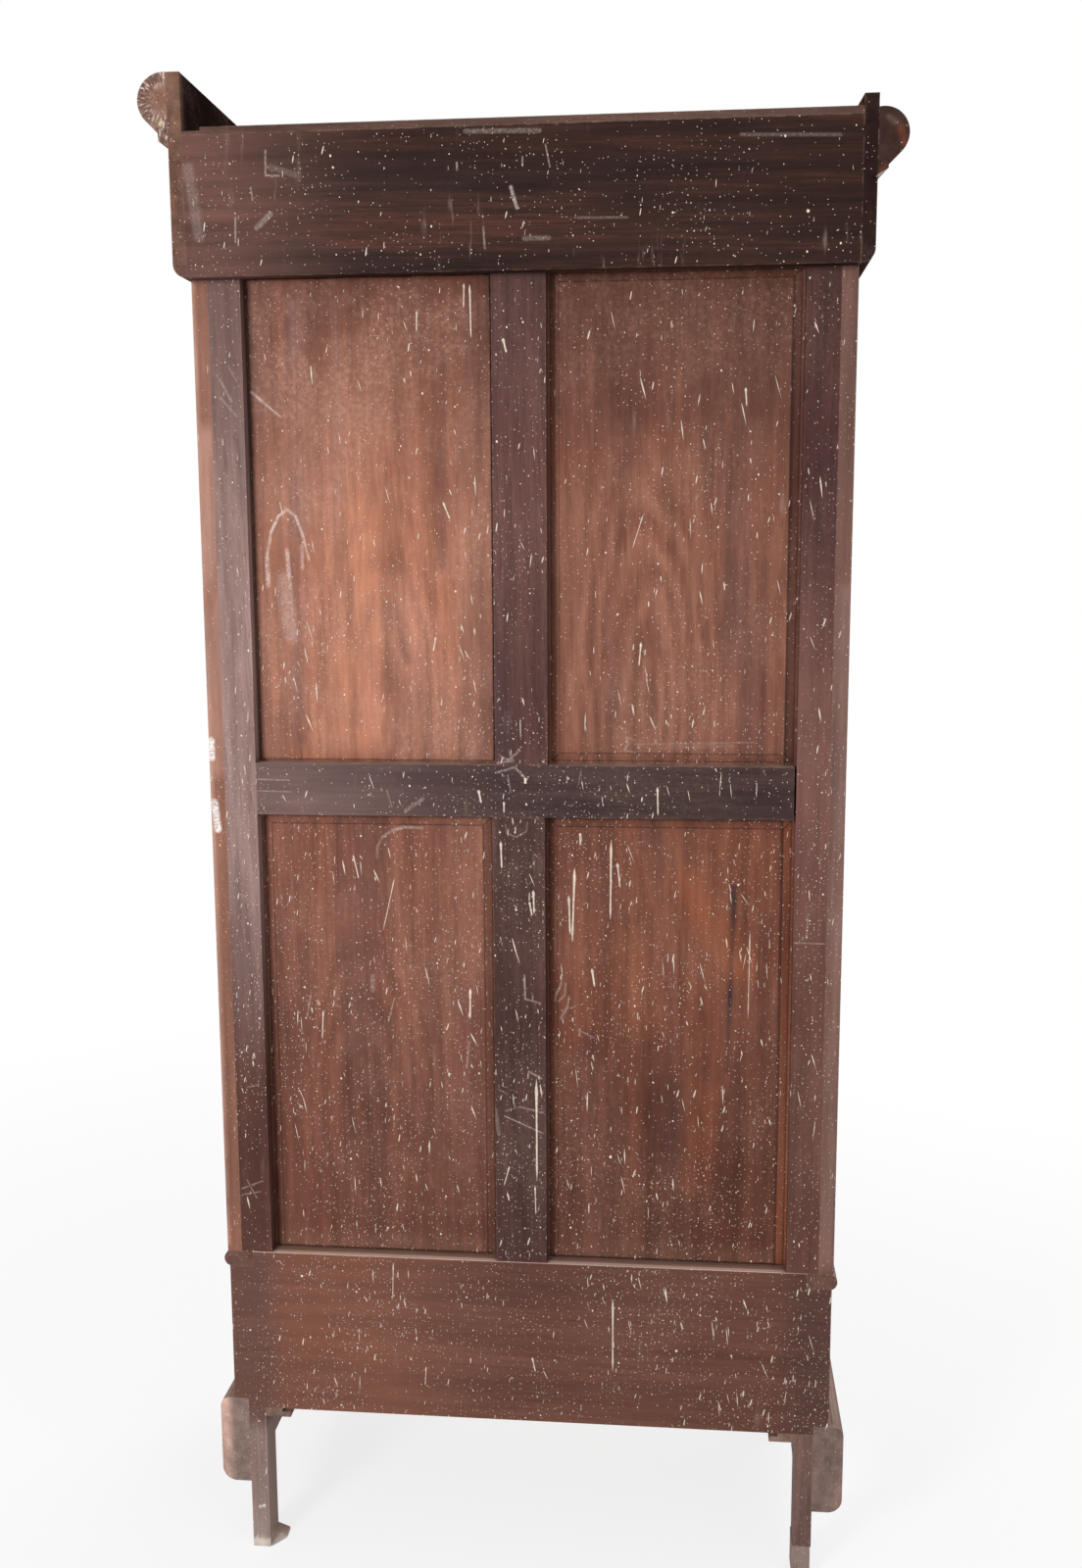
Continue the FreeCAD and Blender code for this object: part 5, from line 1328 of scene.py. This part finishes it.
    FRONT_LEG = Wood(
        (74, 46, 37), (104, 70, 58), (134, 98, 84), rings=0.12, stain=(70, 48, 40),
        stain_share=0.5, dust=0.3, splash=0.0, fades=(Fade("Z", 0.09, 0.01, (118, 96, 86), 0.7),))
    LEG_RED = Wood(
        (70, 50, 45), (96, 72, 66), (124, 98, 91), rings=0.12, stain=(80, 60, 58), stain_share=0.5,
        dust=0.9, splash=0.6, fades=(Fade("Z", 0.0536, 0.0526, (142, 124, 116), 0.8, 0.0),))
    MOULDING_RIGHT = Wood(
        (76, 42, 30), (110, 66, 48), (140, 94, 70), Grain.DEEP, rings=0.12, stain=(70, 46, 40),
        stain_share=0.5, dust=0.6, splash=0.4,
        fades=(Fade("Y", 0.276, 0.2785, (127, 109, 103), 0.9, 0.0),),
        stains=(Stain(476, 250, 474, 120, 35, 1.0, (212, 172, 156)),
                Stain(474, 160, 466, 128, 22, 0.6, (140, 114, 104))),
        reeds="X")
    MOULDING_LEFT = replace(
        MOULDING_RIGHT, fades=(Fade("Y", 0.276, 0.2785, (114, 96, 90), 0.9, 0.0),),
        stains=(Stain(-470, 124, -476, 150, 20, 0.9, (150, 116, 104)),
                Stain(-446, 124, -458, 200, 26, 0.5, (76, 62, 60))))
    MOULDING_FRONT = Wood(
        (62, 34, 24), (96, 55, 38), (130, 80, 56), Grain.ACROSS, rings=0.12, splash=0.0,
        roughness=0.5, varnish=0.1, specular=0.4, reeds="Y")
    WAIST = Wood(
        (72, 46, 38), (98, 66, 55), (126, 90, 78), Grain.DEEP, rings=0.1, stain_share=0.4,
        splash=0.6, fades=(Fade("Y", 0.274, 0.2785, (96, 68, 60), 0.9, 0.0),))
    FRONT = Wood(
        (74, 38, 25), (110, 61, 40), (142, 88, 59), ring_pitch=0.01, rings=0.12,
        stain=(62, 34, 26), stain_share=0.35, bare=(150, 102, 74), wear=0.4, dust=0.2, splash=0.0,
        roughness=0.45, varnish=0.15, specular=0.4)
    FRONT_ACROSS = replace(FRONT, grain=Grain.ACROSS, dust=0.3)
    FRONT_DEEP = replace(
        FRONT, grain=Grain.DEEP, rings=0.14, stain_share=0.4, dust=0.3, roughness=0.5, varnish=0.1,
        specular=0.35, fades=(Fade("Y", 0.262, 0.276, (84, 58, 52), 0.8),))
    FRONT_PANEL = Wood(
        (86, 42, 26), (128, 70, 44), (162, 100, 66), ring_pitch=0.009, rings=0.22,
        stain=(84, 44, 30), bare=(164, 112, 82), wear=0.3, dust=0.1, splash=0.0, roughness=0.42,
        varnish=0.18, specular=0.4, tilt=5.0)
    DRAWER_FRONT = replace(FRONT_PANEL, grain=Grain.ACROSS, tilt=4.0)
    BARE_ACROSS = Wood(
        (112, 80, 60), (148, 110, 86), (180, 144, 116), Grain.ACROSS, rings=0.16,
        stain=(104, 78, 62), stain_share=0.35, wear=0.2, dust=0.4, splash=0.0, roughness=0.72)
    BARE_DEEP = replace(BARE_ACROSS, grain=Grain.DEEP)
    RUNNER = Wood(
        (84, 64, 54), (116, 92, 80), (146, 120, 106), Grain.DEEP, rings=0.14, stain=(88, 68, 58),
        stain_share=0.5, wear=0.3, dust=0.5, splash=0.3, roughness=0.72)
    DUST_BOARD = Wood(
        (66, 46, 40), (96, 70, 60), (132, 102, 88), Grain.ACROSS, rings=0.1, stain_share=0.4,
        wear=0.7, dust=0.85, splash=0.4, fades=(Fade("X", 0.1, -0.4, (66, 50, 46)),))

    def material(self, piece: str, limewash: bpy.types.NodeTree) -> bpy.types.Material:
        """Builds this finish for one piece and returns it."""
        return self.value.material(self.name.lower(), piece, limewash)


class Metals(Enum):
    """The metals of the kas."""

    BRASS = Metal("old_brass", (168, 132, 70), (110, 86, 50), 0.34)
    IRON = Metal("dark_iron", (84, 80, 76), (54, 48, 44), 0.5)
    STEEL = Metal("key_steel", (150, 146, 140), (104, 96, 88), 0.3)


class Carcass:
    """Gives every solid of the kas its wood or metal.

    A solid gets the wood of its own name, or else the first whose pattern fits it.
    """

    woods: dict[str, str] = {
        "CORNICE_BACK": "cornice_back_board", "ROLL_FRONT": "cornice_roll_front",
        "SIDE_ROLL_LEFT": "cornice_roll_left", "SIDE_ROLL_RIGHT": "cornice_roll_right",
        "BRIGHT_PANEL": "back_panel_upper_right", "WARM_PANEL": "back_panel_upper_left",
        "LOWER_PANEL": "back_panel_lower_right", "LOWER_PANEL_SHRUNK": "back_panel_lower_left",
        "STILE_DUSTY": "back_stile_right", "STILE_DARK": "back_stile_left",
        "MUNTIN": "back_muntin_upper", "LOWER_MUNTIN": "back_muntin_lower",
        "RAIL": "back_*_rail", "BASE_BOARD": "base_back_board",
        "MOULDING_LEFT": "base_moulding_left", "MOULDING_RIGHT": "base_moulding_right",
        "MOULDING_FRONT": "base_moulding_front", "WAIST": "waist_rail_left waist_rail_right",
        "LEG_RED": "rear_leg_left", "LEG": "rear_leg_right", "FRONT_LEG": "front_leg_*",
        "FRONT_DEEP": "base_side_*", "RUNNER": "drawer_runners", "BARE_DEEP": "drawer_side_*",
        "BARE_ACROSS": "shelf_* waist_board drawer_back drawer_bottom",
        "FRONT_PANEL": "door_*_panel", "FRONT_ACROSS": "*rail *rail_front cornice_front_board",
        "FRONT": "*",
    }
    metals: dict[str, str] = {"BRASS": "hinge_*", "IRON": "lock_*", "STEEL": "key"}

    @staticmethod
    def fitting(node: str, table: dict[str, str]) -> str:
        """Returns the first finish in a table that has a pattern for a node.

        Args:
            node: The node's name.
            table: Patterns apart by spaces for each finish; * stands for any letters.

        Returns:
            The finish's name, or nothing.
        """
        for finish, patterns in table.items():
            for start, star, end in (pattern.partition("*") for pattern in patterns.split()):
                if node == start or star and node.startswith(start) and node.endswith(end):
                    return finish
        return ""

    def material_of(self, node: str, limewash: bpy.types.NodeTree) -> bpy.types.Material:
        """Builds the finish of a node.

        Args:
            node: The node's name.
            limewash: The shared group of splashes.

        Returns:
            The material.
        """
        metal = self.fitting(node, self.metals)
        if metal:
            return Metals[metal].value.material(node)
        own = node.upper()
        wood = own if own in Finishes.__members__ else self.fitting(node, self.woods)
        return Finishes[wood].material(node, limewash)

    def dress(self, limewash: bpy.types.NodeTree) -> None:
        """Assigns a finish to every node.

        Args:
            limewash: The shared group of splashes.
        """
        for name, node in sorted(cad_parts.items()):
            material = self.material_of(name, limewash)
            node.data.materials.clear()
            node.data.materials.append(material)
            LOG.info("%s: %s", name, material.name)


@dataclass
class Studio:
    """Floor, lamps, world and camera.

    Angles are in degrees.  A lamp is a name, a place, a size in metres and watts.
    """

    place: Triple = (-0.2405, 2.4401, 1.5596)
    pitch: float = 8.682
    yaw: float = 5.620
    roll: float = -0.283
    lens: float = 35.07
    sensor: float = 36.0
    clips: tuple[float, float] = (0.05, 60.0)
    aim: Triple = (0.0, 0.0, 1.1)
    lamps: tuple[tuple[str, Triple, float, float], ...] = (
        ("key_lamp", (1.7, 3.3, 1.9), 0.8, 78.0),
        ("fill_lamp", (-2.2, 3.2, 2.6), 2.4, 25.0),
        ("front_lamp", (-1.8, -3.6, 2.4), 2.4, 100.0),
    )
    white: tuple[float, ...] = (1.0, 1.0, 1.0, 1.0)
    world_light: float = 0.50
    floor_half: float = 9.0
    floor_grey: tuple[float, ...] = (0.90, 0.90, 0.90, 1.0)
    glow_reach: tuple[float, float] = (0.9, 3.0)
    glow_shares: tuple[float, float] = (0.78, 1.0)

    def camera(self) -> None:
        """Makes the camera behind the kas, looking down a little and to its right side."""
        pitch, yaw, roll = (math.radians(v) for v in (self.pitch, self.yaw, self.roll))
        forward = Vector((math.sin(yaw) * math.cos(pitch), -math.cos(yaw) * math.cos(pitch),
                          -math.sin(pitch)))
        right = Vector((-math.cos(yaw), -math.sin(yaw), 0.0))
        up = right.cross(forward)
        turned_right = right * math.cos(roll) + up * math.sin(roll)
        turned_up = up * math.cos(roll) - right * math.sin(roll)
        data = bpy.data.cameras.new("camera")
        data.lens, data.sensor_width = self.lens, self.sensor
        data.clip_start, data.clip_end = self.clips
        made = new_object("camera", data)
        axes = Matrix((turned_right, turned_up, -forward)).transposed().to_4x4()
        made.matrix_world = Matrix.Translation(self.place) @ axes
        bpy.context.scene.camera = made

    def light(self) -> None:
        """Hangs large soft lamps that look at the middle of the kas."""
        for name, place, size, watts in self.lamps:
            data = bpy.data.lights.new(name, "AREA")
            data.shape, data.size, data.energy = "SQUARE", size, watts
            made = new_object(name, data)
            made.location = place
            aim = Vector(self.aim) - Vector(place)
            made.rotation_euler = aim.to_track_quat("-Z", "Y").to_euler()

    def world(self) -> None:
        """Lights everything evenly and shows white behind the kas."""
        world = bpy.data.worlds.new("studio")
        bench = Bench.fresh(world)
        bench.mixed(self.seen(bench), bench.add("Background", self.white, self.world_light),
                    bench.add("Background", self.white, 1.0), "OutputWorld")
        bpy.context.scene.world = world

    @staticmethod
    def seen(bench: Bench) -> Socket:
        """Tells the rays that see a surface from those that light it.

        Args:
            bench: The bench to build it on.

        Returns:
            1 for camera, glossy and transmission rays, and 0 for the others.
        """
        rays = bench.add("LightPath").outputs
        some = bench.sums("ADD", rays["Is Camera Ray"], rays["Is Glossy Ray"], clamp=True)
        return bench.sums("ADD", some, rays["Is Transmission Ray"], clamp=True)

    def floor(self) -> None:
        """Lays a plain pale floor that keeps the shadow of the kas."""
        material = bpy.data.materials.new("floor")
        bench = Bench.fresh(material)
        away = bench.vector("LENGTH", bench.spots()[0]).outputs["Value"]
        glow = bench.times(self.seen(bench), bench.step(away, *self.glow_reach,
                                                        *self.glow_shares))
        bench.mixed(glow, bench.add("BsdfDiffuse", self.floor_grey),
                    bench.add("Emission", Strength=1.0), "OutputMaterial")
        corners = np.array([(-1.0, -1.0, 0.0), (1.0, -1.0, 0.0), (1.0, 1.0, 0.0),
                            (-1.0, 1.0, 0.0)]) * self.floor_half
        new_piece("floor", corners, np.array([[0, 1, 2, 3]]), material)

    def build(self) -> None:
        """Sets up the whole studio."""
        self.floor()
        self.world()
        self.light()
        self.camera()
        bpy.context.scene.view_settings.view_transform = "Standard"


def main() -> None:
    """Builds the dressed kas and logs the finish of each piece and the counts of the added pieces.
    """
    logging.basicConfig(level=logging.INFO, format="%(name)s %(message)s")
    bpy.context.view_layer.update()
    limewash = Limewash().group()
    Carcass().dress(limewash)
    Drips().build()
    Escutcheon().build(Metals.BRASS.value.material("escutcheon"))
    for name, sign in (("left", -1), ("right", 1)):
        Pegs().build(name, sign, Finishes.FRONT.material(f"door_pegs_{name}", limewash))
    Studio().build()


if __name__ == "__main__":
    main()
